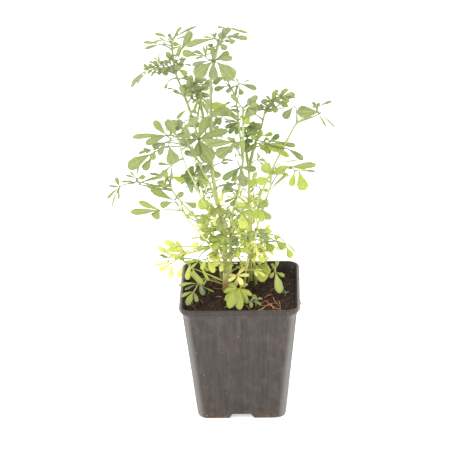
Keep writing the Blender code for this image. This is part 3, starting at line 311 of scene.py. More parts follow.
PLAN = [
    Stem("stem_main", "crown_top", 1.7, 0.8, -90, [
        (225.5, 272, 9), (225, 255, 8), (223, 229, 5), (219.4, 208, 3), (215, 188, 1), (211.5, 163, -1),
        (211, 130, -3), (210.8, 100, -4), (211, 80, -5), (214.3, 61, -5), (218.3, 45, -5)
    ], [
        Leaf(Row(45), (229, 37, -8), (248, 38.5, -10), "one", 0.25, 35),
        Leaf(Row(45), (222, 41, -4), (231, 29, 2), "five", 0.3, 45),
        Leaf(Row(52), (219, 43, -9), (226.5, 50, -15), "one", 0.5, 30),
        Leaf(Row(52), (216, 38.5, -2), (186, 46, 4), "one", 0.2, 35),
        Leaf(286, (199, 55.5, 1), (182, 52.5, 5), "one", 0.38, 30),
        Leaf(Row(61), (208, 61, -8), (192, 65.5, -12), "one", 0.27, 30),
        Leaf(Row(61), (217, 60, -8), (233, 58, -14), "one", 0.3, 25),
        Leaf(Row(61), (214, 60, -6), (229.5, 52, -2), "one", 0.32, 30),
        Leaf(Row(66), (217, 62, -9), (233.5, 80, -18), "one", 0.55, 22),
        Leaf(Row(72), (212, 62, -8), (195, 77, -14), "one", 0.55, 25),
        Leaf(273, (213, 61, -8), (213.5, 80, -14), "one", 0.46, 20),
        Leaf(Row(92), (212.5, 83, -4), (222.5, 78, -2), "one", 0.42, 50),
        Leaf(249, (209.5, 84.5, -8), (203.5, 85.5, -9), "one", 0.46, 45),
        Leaf(Row(118), (222, 108, -8), (240, 112, -14), "five", 0.3, 60),
        Leaf(Row(175), (204, 172, 8), (180, 182, 14), "five", 0.42, 55),
        Leaf(Row(190), (224, 186, -8), (233, 192, -14), "trio", 0.42, 55),
        Leaf(Row(214), (214, 204, -9), (197.5, 204.5, -12), "one", 0.6, 20, 0.55),
        Leaf(Row(222), (215, 213, -10), (216, 226, -14), "one", 0.42, 20, 0.95),
        Leaf(Row(232), (211, 232, -6), (200, 240, -12), "trio", 0.5, 35, 0.3),
        Leaf(Row(250), (217, 246, 10), (199.5, 250, 14), "trio", 0.16, 30, 0.3),
        Leaf(Row(240), (233, 236, 22), (246, 232, 34), "trio", 0.42, 55),
        *fan(4, (228, 28.5, 6), [(247.5, 33, 2, 0.13, 45, 0.1), (217, 27, 8, 0.2, 45, 0.1),
            (236, 29, 6, 0.2, 45, 0.1)]),
        *fan(4, (206, 57, -10), [(203, 46, -12, 0.16, 45), (207, 44.5, -12, 0.13, 45),
            (195, 50, -14, 0.17, 45), (195, 59, -14, 0.2, 45), (192, 51.5, -12, 0.14, 45),
            (200, 54, -16, 0.2, 45)]),
        *fan(3, (212.5, 60, -6), [(213, 46, -8, 0.3, 30)]),
        *fan(5, (213, 49, -4), [(208, 44, -6, 0.35, 45), (211, 43, -6, 0.3, 45), (216, 46, -2, 0.3, 45),
            (207, 50, -8, 0.3, 40)]),
        *fan(3, (215, 39, -3), [(203, 37, -6, 0.16, 45), (210, 33, -4, 0.16, 45), (216, 32, -2, 0.3, 45),
            (213, 33, 0, 0.25, 45)]),
        *fan(3, (226, 40, -8), [(240, 33, -10, 0.2, 40), (236, 42, -12, 0.24, 35)]),
        *fan(2, (228, 37, -8), [(233.5, 44, -12, 0.5, 30)]),
        *fan(2, (222, 41, -6), [(220, 32, -6, 0.3, 35), (225, 27.5, -2, 0.34, 35), (229, 27, 0, 0.3, 35)]),
        *fan(3, (219, 207, -6), [(209, 212, -10, 0.4, 30, 0.3), (212.5, 217, -12, 0.4, 30, 0.3),
            (226, 213, -10, 0.4, 30, 0.3)]),
        *fan(3, (210, 219, -8), [(200, 216, -12, 0.45, 30, 0.3), (200.5, 222.5, -12, 0.45, 30, 0.35),
            (204, 227.5, -14, 0.45, 30, 0.3)]),
        *fan(2, (212, 229, -8), [(203, 229.5, -12, 0.5, 30, 0.35), (206, 235.5, -12, 0.5, 30, 0.3)]),
        *fan(2, (218, 248, -2), [(218.5, 265, -6, 0.32, 20, 0.95), (209, 257.5, -6, 0.45, 25, 0.7),
            (214, 261, -4, 0.3, 25, 0.5)]),
        *fan(2, (216, 236, -2), [(209, 243, -6, 0.45, 30, 0.3), (214, 247, -8, 0.4, 25, 0.45),
            (221, 245, -6, 0.4, 25, 0.5)]),
        *fan(2, (214, 170, -8), [(219.5, 177.5, -12, 0.62, 25, 0.1)]),
        *fan(3, (208, 116, -8), [(207.5, 98, -10, 0.2, 25, 0.1), (202, 101, -8, 0.14, 25, 0.1)]),
        *fan(2, (211, 160, -8), [(204, 173, -12, 0.4, 25, -0.2), (208, 171, -10, 0.3, 25, -0.2)]),
    ]),
    Stem("stem_tall_left", "stem_main", 0.9, 0.6, -105, [
        (211.5, 166, -1), (199.5, 141.5, 6), (191, 114, 11), (183.3, 92.4, 14), (175.7, 73, 16),
        (172.5, 52, 18), (172.8, 38, 18)
    ], [
        Leaf(Row(39), (173, 38, 18), (181.5, 26.5, 22), "one", 0.2, 35),
        Leaf(Row(39), (174, 38, 17), (197, 26, 14), "one", 0.08, 45),
        Leaf(Row(44), (168, 39, 17), (154.5, 34, 12), "one", 0.24, 50),
        Leaf(Row(50), (161, 44.5, 14), (143, 42.5, 8), "one", 0.18, 50),
        Leaf(Row(56), (181, 51, 13), (191.5, 31, 9), "one", 0.28, 15),
        Leaf(Row(68), (175, 59, 12), (181.5, 47, 10), "one", 0.27, 15),
        Leaf(Row(68), (173.5, 62, 14), (167, 51.5, 12), "one", 0.4, 20),
        Leaf(Row(72), (182, 66, 12), (186, 57.5, 14), "one", 0.2, 50),
        Leaf(Row(72), (163, 65, 12), (145, 68, 4), "fern", 0.26, 50),
        Leaf(Row(72), (147, 70, 22), (131, 87, 28), "one", 0.2, 50),
        Leaf(Row(74), (182, 64, 20), (191.5, 65.5, 24), "one", 0.2, 50),
        Leaf(Row(78), (168, 82, 12), (165, 89, 8), "one", 0.36, 35),
        Leaf(Row(97), (188, 92, 20), (196, 82, 30), "trio", 0.42, 45),
        Leaf(Row(103), (184, 96, 8), (182, 86, 2), "trio", 0.4, 35),
        Leaf(Row(120), (184, 122, 4), (177, 131, -2), "trio", 0.26, 40),
        *fan(2, (173, 39, 17), [(168.5, 33.5, 16, 0.34, 45), (187, 36, 20, 0.14, 50),
            (178, 32, 18, 0.25, 45), (170, 36, 12, 0.3, 45)]),
        *fan(3, (166, 41, 17), [(152, 43, 14, 0.18, 50, 0.3), (159, 38, 20, 0.2, 50),
            (163, 46, 12, 0.3, 45)]),
        *fan(3, (161, 44.5, 14), [(144.5, 49, 10, 0.18, 45)]),
        *fan(2, (181, 45, 20), [(173, 43.5, 22, 0.5, 35, 0.35)]),
        *fan(3, (177, 61, 14), [(184, 57.5, 12, 0.22, 50), (187, 58.5, 14, 0.16, 50),
            (181, 50, 18, 0.18, 45)]),
        *fan(3, (178, 64, 12), [(183, 61, 8, 0.5, 40), (184, 66, 8, 0.5, 40), (179, 69, 6, 0.5, 40),
            (174, 60, 8, 0.45, 40), (176, 69, 10, 0.45, 40)]),
        *fan(2, (171, 65, 13), [(168, 59.5, 10, 0.4, 45), (172, 72, 8, 0.4, 45)]),
        *fan(2, (168, 66, 12), [(164, 60, 9, 0.42, 45), (165, 76, 8, 0.5, 30)]),
        *fan(2, (164, 66.5, 11), [(160, 61, 8, 0.42, 45), (158, 75, 9, 0.35, 40), (163, 72, 4, 0.5, 45)]),
        *fan(2, (159, 67.5, 10), [(153, 61, 8, 0.4, 45), (159.5, 53.5, 14, 0.1, 40),
            (151, 76.5, 8, 0.22, 40), (155, 71, 2, 0.5, 45)]),
        *fan(2, (154, 68.5, 8), [(149, 64, 8, 0.42, 45), (148, 74, 8, 0.3, 45), (147, 68, 4, 0.36, 45)]),
        *fan(2, (148, 69.5, 6), [(143.5, 64, 6, 0.42, 45), (143, 69, 4, 0.4, 50), (144, 74, 6, 0.3, 45)]),
        *fan(2, (148, 71.5, 16), [(137, 84, 22, 0.14, 45)]),
        *fan(3, (178, 69, 14), [(187.5, 75, 10, 0.46, 35, 0.3)]),
        *fan(4, (187, 88, 12), [(181, 87, 8, 0.5, 35), (184, 96, 8, 0.45, 35), (190, 81, 8, 0.5, 35),
            (193, 91, 8, 0.5, 35)]),
        *fan(2, (188, 109, 6), [(176.5, 119, 2, 0.26, 35)]),
        *fan(3, (199, 139, 0), [(196.5, 157, -6, 0.42, 22), (212, 161.5, -10, 0.58, 20),
            (228.5, 131, -12, 0.2, 25), (213, 137, -8, 0.5, 30), (208.5, 117, -4, 0.34, 22),
            (184.5, 142, -4, 0.25, 35), (187, 145, -8, 0.22, 35), (191, 133.5, -4, 0.3, 30)]),
        *fan(2, (195, 155, 2), [(184, 152, -2, 0.4, 35, -0.3)]),
    ]),
    Stem("stem_inner_left", "stem_main", 0.8, 0.55, -100, [
        (218, 206, 3), (210.5, 186, -5), (202.8, 170.5, -10), (193.7, 152, -15), (187, 142.5, -17),
        (182.5, 132, -18)
    ], [
        Leaf(Row(152), (167, 135.5, -24), (132, 137.5, -30), "one", 0.15, 35),
        Leaf(None, (168, 138, -25), (145.5, 144, -34), "one", 0.26, 30),
        Leaf(None, (168, 137, -24), (154, 120.5, -24), "one", 0.34, 25),
        Leaf(None, (169.5, 137, -24), (169, 120, -24), "trio", 0.18, 25),
        Leaf(None, (171, 138, -22), (192, 134.5, -18), "one", 0.24, 25),
        Leaf(None, (169, 146, -26), (174.5, 164, -32), "one", 0.62, 20),
        Leaf(None, (152, 153.5, -28), (128, 168.5, -34), "one", 0.36, 25),
        Leaf(None, (152, 157, -27), (144, 170.5, -35), "one", 0.42, 25),
        Leaf(Row(162), (194, 157, -20), (188, 154, -24), "one", 0.3, 30),
        Leaf(Row(142.5), (182, 131, -22), (199, 117, -26), "one", 0.24, 25),
        Leaf(Row(136), (182, 130, -20), (179, 119, -22), "one", 0.52, 25),
        Leaf(Row(174), (199, 176, -2), (190, 192, 4), "five", 0.4, 40),
        *fan(2, (166, 142, -27), [(152, 147, -30, 0.36, 25), (159, 155, -32, 0.36, 25),
            (162, 148, -30, 0.4, 25)]),
        *fan(2, (152, 150, -29), [(138.5, 153.5, -32, 0.2, 35), (143, 149, -30, 0.28, 35),
            (146, 153, -33, 0.3, 35)]),
        *fan(2, (155, 150, -28), [(152, 160, -32, 0.55, 25)]),
        *fan(2, (170, 133, -23), [(176, 120, -22, 0.5, 30), (180.5, 126, -20, 0.42, 30),
            (165.5, 120.5, -22, 0.3, 35)]),
        *fan(2, (194, 175, -2), [(180, 178, -4, 0.4, 40, -0.4), (185, 171, 2, 0.42, 40, -0.4),
            (191, 166, 4, 0.45, 40, -0.4), (201, 166, 4, 0.45, 40, -0.4), (204, 175, 0, 0.45, 40, -0.4),
            (186, 183, -4, 0.4, 35, -0.4)]),
        *fan(2, (198, 175, -6), [(207.5, 184.5, -10, 0.36, 30, 0.3), (205, 165, -6, 0.3, 30, -0.4),
            (201, 184, -8, 0.14, 30, 0.1)]),
    ]),
    Stem("stem_thin_left", "stem_main", 0.6, 0.45, -95, [
        (223, 226, 5), (210, 212, -10), (202, 199.5, -18), (194.5, 183, -22), (188.5, 171.3, -25),
        (183, 158, -27), (178.5, 140, -29)
    ], [
        Leaf(Row(140), (177, 137, -30), (167, 119, -34), "one", 0.26, 30),
        Leaf(Row(158.5), (172, 165, -28), (158, 179, -30), "trio", 0.2, 40),
        Leaf(Row(150), (189, 148, -26), (196, 158, -28), "one", 0.32, 25),
        Leaf(Row(214), (205, 217, -24), (197, 224, -32), "trio", 0.4, 50),
    ]),
    Stem("stem_low_left", "stem_main", 0.85, 0.5, -110, [
        (225, 252, 8), (209, 232, 3), (199.8, 222.4, 1), (184.6, 205.9, -3), (176, 196, -5),
        (171.3, 188, -6), (170.5, 175, -7)
    ], [
        Leaf(Row(190), (138, 182.5, -8), (121, 182, -12), "one", 0.12, 50),
        *fan(None, (137, 179, -8), [(125.5, 175, -6, 0.2, 45), (145.5, 177, -10, 0.5, 35),
            (139, 166, -8, 0.16, 40), (130, 171.5, -6, 0.16, 45)]),
        *fan(None, (134, 183, -9), [(122, 181, -10, 0.14, 45), (128, 179.5, -9, 0.12, 45)]),
        Leaf(None, (120, 187, -12), (107, 199, -14), "trio", 0.16, 50),
        *fan(None, (119, 186, -12), [(116, 177, -14, 0.3, 45), (112.5, 187, -14, 0.26, 45),
            (117, 193.5, -14, 0.34, 45), (112, 207, -12, 0.1, 45, 0.2)]),
        Leaf(Row(190.5), (141, 182, -2), (160, 177, 4), "one", 0.15, 45),
        Leaf(Row(176), (170, 179, -8), (184.5, 181, -10), "one", 0.36, 25, 0.5),
        Leaf(Row(176), (167, 178, -8), (149, 173.5, -12), "one", 0.16, 45),
        Leaf(Row(185), (166, 181, -12), (163, 187, -18), "one", 0.6, 40, 0.3),
        Leaf(Row(197), (173, 200, -10), (150, 188, -16), "one", 0.25, 25),
        Leaf(Row(199), (177, 199, -6), (183.5, 192, -8), "one", 0.4, 30),
        Leaf(Row(226), (197, 218, 6), (189, 212, 12), "one", 0.5, 55),
        *fan(1, (160, 186, -12), [(147, 187, -16, 0.32, 30)]),
        *fan(2, (166, 180, -10), [(157, 184, -14, 0.36, 35, 0.2), (165, 170, -12, 0.62, 30, 0.4)]),
        *fan(2, (141, 183, -4), [(162, 177, -2, 0.16, 40, 0.1), (152, 185.5, -6, 0.12, 40)]),
        *fan(1, (165, 185, -10), [(160, 181, -12, 0.4, 35, 0.1), (157, 187, -14, 0.3, 35, 0.1),
            (168, 176, -10, 0.3, 35, 0.1)]),
    ]),
    Stem("stem_front_left", "stem_main", 0.75, 0.5, -95, [
        (225.3, 270, 9), (213, 250, -6), (201.6, 235, -16), (189.5, 221.5, -24), (181.5, 210.4, -28),
        (177, 203, -30)
    ], [
        Leaf(Row(210.4), (160, 210, -34), (130, 212, -40), "one", 0.2, 25),
        Leaf(None, (159, 209, -34), (138.5, 201.5, -39), "one", 0.21, 25),
        Leaf(None, (158, 210, -34), (154, 218.5, -37), "one", 0.9, 25),
        Leaf(Row(205), (173, 202, -33), (160, 206, -38), "one", 0.44, 25),
        Leaf(Row(204), (176, 200, -32), (180, 192, -34), "one", 0.2, 25),
        Leaf(Row(218), (184, 202, -30), (196.5, 207.5, -34), "one", 0.34, 25),
        Leaf(Row(243), (203, 243, -22), (198, 252, -28), "one", 0.5, 35),
        Leaf(Row(252), (207, 258, -12), (214, 273, -20), "trio", 0.4, 30),
    ]),
    Stem("stem_fork", "soil", 1.2, 0.65, -90, [
        (229.5, 291, 4), (230.5, 257, 0), (231, 225, -3), (234.8, 204, -6), (238.7, 191, -8),
        (241, 176, -11), (243, 160, -13), (243, 130, -15), (242.8, 108, -15)
    ], [
        Leaf(Row(109), (241, 106, -16), (231, 94, -18), "one", 0.26, 25),
        Leaf(Row(109), (245, 106, -16), (258, 96, -20), "one", 0.3, 25),
        Leaf(Row(112), (248, 108, -18), (257, 103, -24), "trio", 0.36, 35),
        Leaf(Row(145), (236, 142, -18), (202, 140.5, -26), "one", 0.13, 25),
        Leaf(None, (234, 145, -20), (216, 156, -24), "one", 0.5, 20),
        Leaf(None, (240, 167, -19), (222.5, 180, -26), "one", 0.28, 20, -0.3),
        Leaf(None, (240, 167, -19), (231.5, 182, -26), "one", 0.2, 20, -0.4),
        Leaf(None, (240, 167, -19), (245, 187, -27), "one", 0.4, 20, -0.1),
        Leaf(None, (240, 167, -19), (256.5, 169.5, -23), "one", 0.34, 25, -0.3),
        Leaf(Row(195), (231, 190, -16), (224, 192, -20), "one", 0.5, 55),
        Leaf(Row(218), (241, 212, -14), (253, 214, -22), "trio", 0.42, 45),
        Leaf(Row(228), (238, 224, -14), (246, 230, -22), "five", 0.42, 40),
        Leaf(Row(240), (222, 240, -10), (213, 250, -18), "trio", 0.42, 40),
        Leaf(Row(252), (238, 248, -8), (249, 252, -16), "trio", 0.42, 40),
        Leaf(Row(266), (222, 262, -6), (210, 266, -14), "trio", 0.42, 40),
        *fan(2, (244, 117, -14), [(256.5, 107, -16, 0.46, 30)]),
        *fan(2, (243, 112, -14), [(240, 118, -18, 0.55, 25, 0.35)]),
        *fan(3, (232, 184, -14), [(224, 189, -18, 0.34, 45, -0.3), (229, 189, -18, 0.5, 45, -0.3),
            (218, 186.5, -14, 0.16, 45, -0.3), (236.5, 184, -16, 0.4, 35, -0.4),
            (226, 182.5, -12, 0.4, 35, -0.3)]),
        *fan(2, (222, 191, -12), [(221, 202, -14, 0.32, 25, 0.7), (223.5, 196, -12, 0.3, 30, 0.7)]),
        *fan(2, (236, 198, -10), [(231, 206, -14, 0.45, 30, -0.6), (224, 202, -12, 0.22, 30, -0.4),
            (226, 196, -10, 0.2, 35, 0.7)]),
        *fan(3, (221, 216, -14), [(217, 224.5, -18, 0.5, 30, 0.1), (225, 222.5, -18, 0.5, 30, 0.1),
            (219.5, 232, -18, 0.4, 25, 0.15), (226, 229, -16, 0.45, 30, 0.2)]),
        *fan(3, (238, 238, -10), [(228.5, 238, -14, 0.5, 30, -0.1), (230.5, 246, -16, 0.4, 25, 0),
            (236.5, 247, -16, 0.45, 25, -0.1), (245, 240, -14, 0.4, 30, 0.1)]),
        *fan(2, (233, 250, -8), [(227.5, 257, -12, 0.6, 30, -0.1), (238, 257, -12, 0.5, 30, 0.2),
            (240, 250, -10, 0.4, 30, 0.2)]),
        *fan(2, (238, 218, -12), [(235.5, 231, -16, 0.3, 25, 0.3), (232, 226, -16, 0.45, 30, 0.35),
            (245, 224, -14, 0.4, 30, 0.3)]),
        *fan(2, (226, 234, -10), [(222, 243, -14, 0.45, 25, 0.3), (229, 243, -14, 0.4, 25, 0.35),
            (231, 232, -12, 0.4, 30, 0.3)]),
        *fan(2, (243, 109, -12), [(257, 98, -14, 0.2, 40), (243, 125, -16, 0.07, 30, -0.8)]),
        *fan(2, (245, 115, -16), [(246, 124.5, -18, 0.55, 25, 0.3)]),
        *fan(2, (236, 142, -18), [(208, 146, -26, 0.14, 25), (231, 147, -22, 0.45, 25),
            (232, 137.5, -20, 0.4, 25), (239, 149.5, -22, 0.42, 25), (244.5, 145, -20, 0.6, 25, 0.2),
            (227, 137, -20, 0.3, 25, 0.2)]),
        *fan(2, (234, 146, -20), [(236, 158, -22, 0.08, 25, -0.8), (229, 153, -24, 0.4, 25)]),
        *fan(2, (235.5, 157, -20), [(240, 167, -22, 0.12, 25, -0.8), (230, 155.5, -22, 0.14, 25, -0.8)]),
        *fan(3, (242, 212, -18), [(243.5, 229, -24, 0.56, 22, 0.6), (249, 226, -20, 0.34, 25, 0.3)]),
    ]),
    Stem("stem_fork_side", "stem_fork", 0.75, 0.5, -90, [
        (243, 158, -13), (240.5, 140, -8), (237.5, 112, -3), (235, 95, 0), (230.8, 88, 1)
    ], [
        Leaf(Row(88), (227, 86, 1), (214, 90, -2), "one", 0.36, 25),
        Leaf(Row(90), (230, 86.5, -1), (227, 93, -5), "one", 0.5, 25),
        Leaf(Row(96), (240, 84, 2), (257, 89, 0), "one", 0.28, 30),
        Leaf(None, (240, 84, 2), (250, 79.5, 6), "one", 0.13, 50),
        Leaf(Row(97), (239, 87, 0), (242, 95, -3), "one", 0.55, 25),
        Leaf(Row(112), (238, 117, 0), (211, 105, -8), "one", 0.3, 40, 0.3),
        *fan(2, (239, 83, 2), [(231.5, 80, 0, 0.2, 50), (236, 78.5, 4, 0.3, 45), (245, 79, 6, 0.14, 50)]),
        *fan(2, (229, 86, 1), [(227.5, 92.5, -3, 0.6, 30)]),
        *fan(2, (240, 119, -9), [(211, 112.5, -13, 0.2, 50)]),
        *fan(2, (238, 122, 0), [(225, 128, -4, 0.3, 45, -0.4), (229, 134, -6, 0.3, 45, -0.4),
            (236, 135, -8, 0.3, 45, -0.4), (231, 121, -2, 0.36, 45, -0.4)]),
        *fan(2, (223, 79, 2), [(213, 83.5, 0, 0.5, 40), (229, 87, 0, 0.12, 35)]),
        *fan(2, (222, 117, -2), [(218, 125, -6, 0.5, 30, -0.3), (214.5, 121, -4, 0.45, 30, -0.3)]),
    ]),
    Stem("stem_back_top", "soil", 1.45, 0.6, -75, [
        (250.5, 279, 27), (250, 257, 29), (249.5, 215, 27), (249.6, 171, 25), (255.5, 141.5, 24),
        (261, 128, 23), (265, 112, 22)
    ], [
        Leaf(Row(113), (271, 103, 20), (295.5, 94.5, 14), "five", 0.36, 55),
        Leaf(Row(114), (268, 108, 26), (262, 100, 34), "trio", 0.4, 45),
        Leaf(Row(120), (250, 115, 20), (246, 124, 18), "one", 0.6, 25, 0.6),
        Leaf(Row(134), (262, 136, 26), (273, 133.5, 28), "one", 0.38, 35, 0.35),
        Leaf(Row(146), (262, 143, 18), (275, 146, 12), "five", 0.42, 45),
        Leaf(Row(165), (257, 160, 32), (268, 164, 42), "trio", 0.42, 55),
        Leaf(Row(180), (243, 176, 34), (234, 182, 44), "trio", 0.42, 55),
        Leaf(Row(200), (241, 196, 34), (230, 200, 44), "trio", 0.42, 55),
        Leaf(Row(215), (257, 211, 34), (268, 214, 44), "trio", 0.42, 55),
        Leaf(Row(240), (258, 240, 36), (268, 248, 46), "trio", 0.42, 50),
        *fan(3, (264, 110, 18), [(255, 108, 14, 0.42, 35, -0.3), (272.5, 111, 14, 0.4, 35, -0.3),
            (260, 104, 16, 0.36, 40, -0.2), (271, 104.5, 16, 0.4, 40, -0.3), (254, 104.5, 14, 0.3, 35),
            (267, 112.5, 14, 0.3, 35, -0.3)]),
        *fan(3, (272, 101, 18), [(261, 101.5, 14, 0.36, 35), (266, 96, 16, 0.3, 40),
            (276, 94.5, 14, 0.26, 40), (274, 107, 12, 0.3, 35, -0.3), (283, 104.5, 10, 0.22, 40, 0.15),
            (281, 98, 12, 0.3, 40)]),
        *fan(3, (281, 97, 14), [(274, 92.5, 14, 0.24, 40), (284, 91.5, 12, 0.26, 45),
            (289, 102.5, 8, 0.42, 35, 0.15), (296, 98, 6, 0.14, 45), (292, 95, 8, 0.26, 45, 0.15),
            (286, 97, 8, 0.3, 40), (279, 93.5, 12, 0.3, 45)]),
        *fan(2, (284, 107.5, 10), [(289, 106, 8, 0.3, 45)]),
        *fan(3, (268, 143, 24), [(279.5, 134.5, 24, 0.36, 35, -0.4)]),
        *fan(3, (247, 127, 10), [(256, 123, 8, 0.5, 35, -0.7), (262.5, 127, 8, 0.45, 35, -0.6),
            (250, 133, 4, 0.5, 30, -0.7), (257, 134, 4, 0.5, 30, -0.5), (241, 131, 2, 0.5, 30, -0.8)]),
        *fan(3, (247, 138, 14), [(243, 132, 10, 0.5, 30, -0.9), (250, 131, 10, 0.5, 30, -0.9),
            (244, 146, 8, 0.5, 30, -0.9), (252, 143, 8, 0.5, 30, -0.8), (247, 153, 8, 0.5, 25, -0.7)]),
        *fan(2, (247, 204, 24), [(237, 205.5, 20, 0.55, 30, 0.8), (239, 197, 20, 0.2, 40, 0.7),
            (252, 198, 18, 0.4, 35, 0.5)]),
        *fan(2, (243, 212, 16), [(244, 229.5, 10, 0.5, 20, 0.75), (236.5, 219, 12, 0.4, 30, 0.4)]),
        *fan(3, (247, 234, 20), [(246, 251, 14, 0.36, 25, 0.1), (250.5, 246, 14, 0.36, 25, 0.1),
            (241, 243, 16, 0.4, 30, 0.15)]),
        *fan(2, (252, 214, 22), [(248, 208, 18, 0.4, 35, 0.6), (253, 224, 16, 0.5, 25, 0.5),
            (258, 212, 18, 0.5, 35, 0.5)]),
        *fan(2, (258, 246, 22), [(255, 256, 16, 0.5, 25, 0.25), (263, 253, 16, 0.45, 25, 0.3),
            (251, 252, 18, 0.4, 30, 0.3)]),
        *fan(3, (248, 172, 14), [(246, 151, 10, 0.12, 30, 0.2), (250, 156, 10, 0.1, 30, 0.1),
            (253, 148, 8, 0.1, 25, 0.1)]),
    ]),
    Stem("stem_far_right", "soil", 1.0, 0.6, -75, [
        (256, 283, 19), (253, 250, 19), (251.5, 222, 17), (256, 205, 14), (265.2, 184.6, 10),
        (275, 163.7, 8), (286.5, 141.3, 5), (297, 123, 3), (308, 117, 0), (317.5, 112, -1)
    ], [
        Leaf(Row(123), (293, 107, 1), (283.5, 118.5, -3), "one", 0.5, 25, -0.2),
        Leaf(Row(122), (319, 112, -1), (297, 111.5, -4), "one", 0.48, 25),
        Leaf(Row(112), (319, 106, -2), (332, 101, -4), "one", 0.2, 45),
        Leaf(Row(112), (318, 112, -2), (335.5, 128, -5), "one", 0.08, 45),
        Leaf(None, (318, 113, -2), (326, 127, -9), "one", 0.11, 45),
        Leaf(Row(112), (316, 108, 0), (312, 102, 4), "one", 0.5, 50),
        Leaf(Row(192), (257, 186, 16), (249, 188, 22), "trio", 0.42, 50),
        Leaf(Row(232), (266, 242, 12), (272.5, 251.5, 6), "one", 0.85, 35, 0.35),
        Leaf(None, (286, 246.5, 2), (291.5, 258, -3), "one", 0.6, 30, 0.5),
        Leaf(Row(250), (262, 249, 26), (274, 254, 32), "trio", 0.4, 50),
        *fan(3, (256, 142, 12), [(271, 153.5, 6, 0.28, 35, 0.3), (262, 130, 8, 0.3, 40, 0.3),
            (251, 132, 6, 0.34, 40, 0.2), (249, 150, 6, 0.34, 35, 0.1), (253, 151, 4, 0.3, 35, 0.1)]),
        *fan(3, (266, 145, 8), [(289.5, 157, 2, 0.2, 35, 0.35), (284, 143.5, 6, 0.16, 40, 0.3),
            (276, 152, 2, 0.28, 35, 0.35), (273, 139, 8, 0.26, 40, 0.25)]),
        *fan(3, (277, 143.5, 8), [(296, 145.5, 4, 0.24, 35)]),
        *fan(3, (287, 148.5, 4), [(303.5, 160, -2, 0.27, 30, -0.05)]),
        *fan(2, (317, 108, -2), [(313, 102, -2, 0.4, 40), (315, 105, -6, 0.4, 40),
            (319.5, 102.5, -4, 0.4, 40), (312, 106.5, -4, 0.3, 40)]),
        *fan(2, (276, 241.5, 4), [(285.5, 248, 0, 0.8, 25, 0.35), (277, 234.5, 2, 0.6, 35, 0.55)]),
        *fan(2, (284, 241, 0), [(295.5, 252.5, -4, 0.14, 30, 0.3)]),
        *fan(2, (266, 137, 12), [(272, 133, 10, 0.3, 30, 0.2), (262, 151, 6, 0.18, 35, 0.3)]),
        *fan(2, (270, 145, 6), [(266, 154.5, 4, 0.18, 35, 0.2), (286, 146.5, 2, 0.14, 40, 0.3)]),
    ]),
    Stem("stem_front_right", "soil", 0.85, 0.55, -85, [
        (244, 290, 4), (247.5, 262, -2), (254.5, 237, -8), (259.2, 220.8, -12), (265.2, 202.5, -16),
        (270, 188, -19), (271.3, 174, -20)
    ], [
        Leaf(Row(175), (270, 175, -21), (263, 163.5, -24), "one", 0.58, 25, 0.35),
        Leaf(Row(175), (271, 173, -21), (286, 168, -26), "one", 0.4, 35, 0.25),
        Leaf(Row(180), (270, 177.5, -22), (257, 183, -28), "one", 0.5, 25, 0.45),
        Leaf(173, (289, 168, -22), (316.5, 165, -28), "one", 0.2, 30, 0.15),
        Leaf(None, (294.5, 171, -23), (291, 186.5, -27), "one", 0.4, 15, 0.42),
        Leaf(None, (299, 171, -23), (304.5, 190.5, -28), "one", 0.5, 15, 0.42),
        Leaf(None, (299, 171, -23), (316, 171.5, -24), "one", 0.12, 35),
        Leaf(Row(200), (257, 206, -18), (250.5, 196.5, -24), "trio", 0.2, 40, 0.3),
        Leaf(Row(212), (262, 210.5, -20), (271, 219.5, -26), "one", 0.42, 30, 0.15),
        Leaf(Row(232), (257, 229, -16), (268.5, 241, -22), "one", 0.38, 35, 0.0),
        Leaf(Row(245), (245, 240, -12), (239, 244, -20), "trio", 0.42, 40),
        Leaf(Row(258), (256, 254, -12), (264, 262, -20), "trio", 0.42, 35),
        *fan(2, (291, 166.5, -23), [(307, 168.5, -28, 0.26, 25, 0.5), (281, 168, -26, 0.4, 30, 0.35)]),
        *fan(2, (258, 178, -14), [(250, 185, -16, 0.6, 25, 0.5)]),
        *fan(2, (280, 164, -20), [(298, 161, -22, 0.1, 45, 0.2)]),
        *fan(2, (258, 207, -18), [(262.5, 199, -22, 0.3, 30, 0.2), (265.5, 203, -22, 0.45, 30, 0.2),
            (269, 202.5, -22, 0.5, 30, 0.2), (262.5, 222, -22, 0.42, 25, 0.4),
            (255.5, 219, -22, 0.45, 25, 0.4)]),
        *fan(2, (256, 230, -14), [(266, 230, -18, 0.15, 35, 0), (247, 234, -18, 0.3, 30, 0.1),
            (250, 241, -18, 0.35, 25, 0.1)]),
        *fan(2, (256, 240, -10), [(249, 244.5, -14, 0.36, 30, 0.9), (258, 258.5, -16, 0.13, 25, 0.85),
            (254, 254, -16, 0.14, 25, 0.7)]),
        *fan(2, (262, 251, -8), [(270.5, 261, -12, 0.16, 30, 0.8), (265, 262, -12, 0.16, 30, 0.6),
            (270, 252, -8, 0.2, 35, 0.7)]),
        *fan(2, (279, 172, -22), [(289, 176, -26, 0.3, 25, 0.3), (275, 168, -22, 0.3, 30, 0.2),
            (283, 173, -24, 0.3, 25, 0.1)]),
        *fan(2, (270, 189, -20), [(288, 173, -24, 0.09, 30, 0.1)]),
    ]),
    Stem("stem_behind", "stem_main", 0.7, 0.5, -90, [
        (214, 178, 2), (207, 140, 16), (203, 118, 20), (198, 100, 23), (193, 86, 25)
    ], [
        Leaf(Row(87), (190, 82, 26), (184, 76, 28), "one", 0.5, 40),
        Leaf(Row(88), (199, 82, 26), (207, 79, 28), "one", 0.5, 55),
        Leaf(Row(97), (201, 93, 20), (206, 98, 16), "one", 0.5, 40),
        Leaf(Row(104), (195, 100, 18), (190, 97, 14), "one", 0.5, 45),
        Leaf(Row(118), (198, 115, 26), (192, 110, 32), "one", 0.5, 50),
        Leaf(Row(140), (214, 136, 24), (224, 138, 32), "five", 0.4, 55),
        Leaf(Row(152), (203, 150, 26), (194, 152, 36), "five", 0.4, 50),
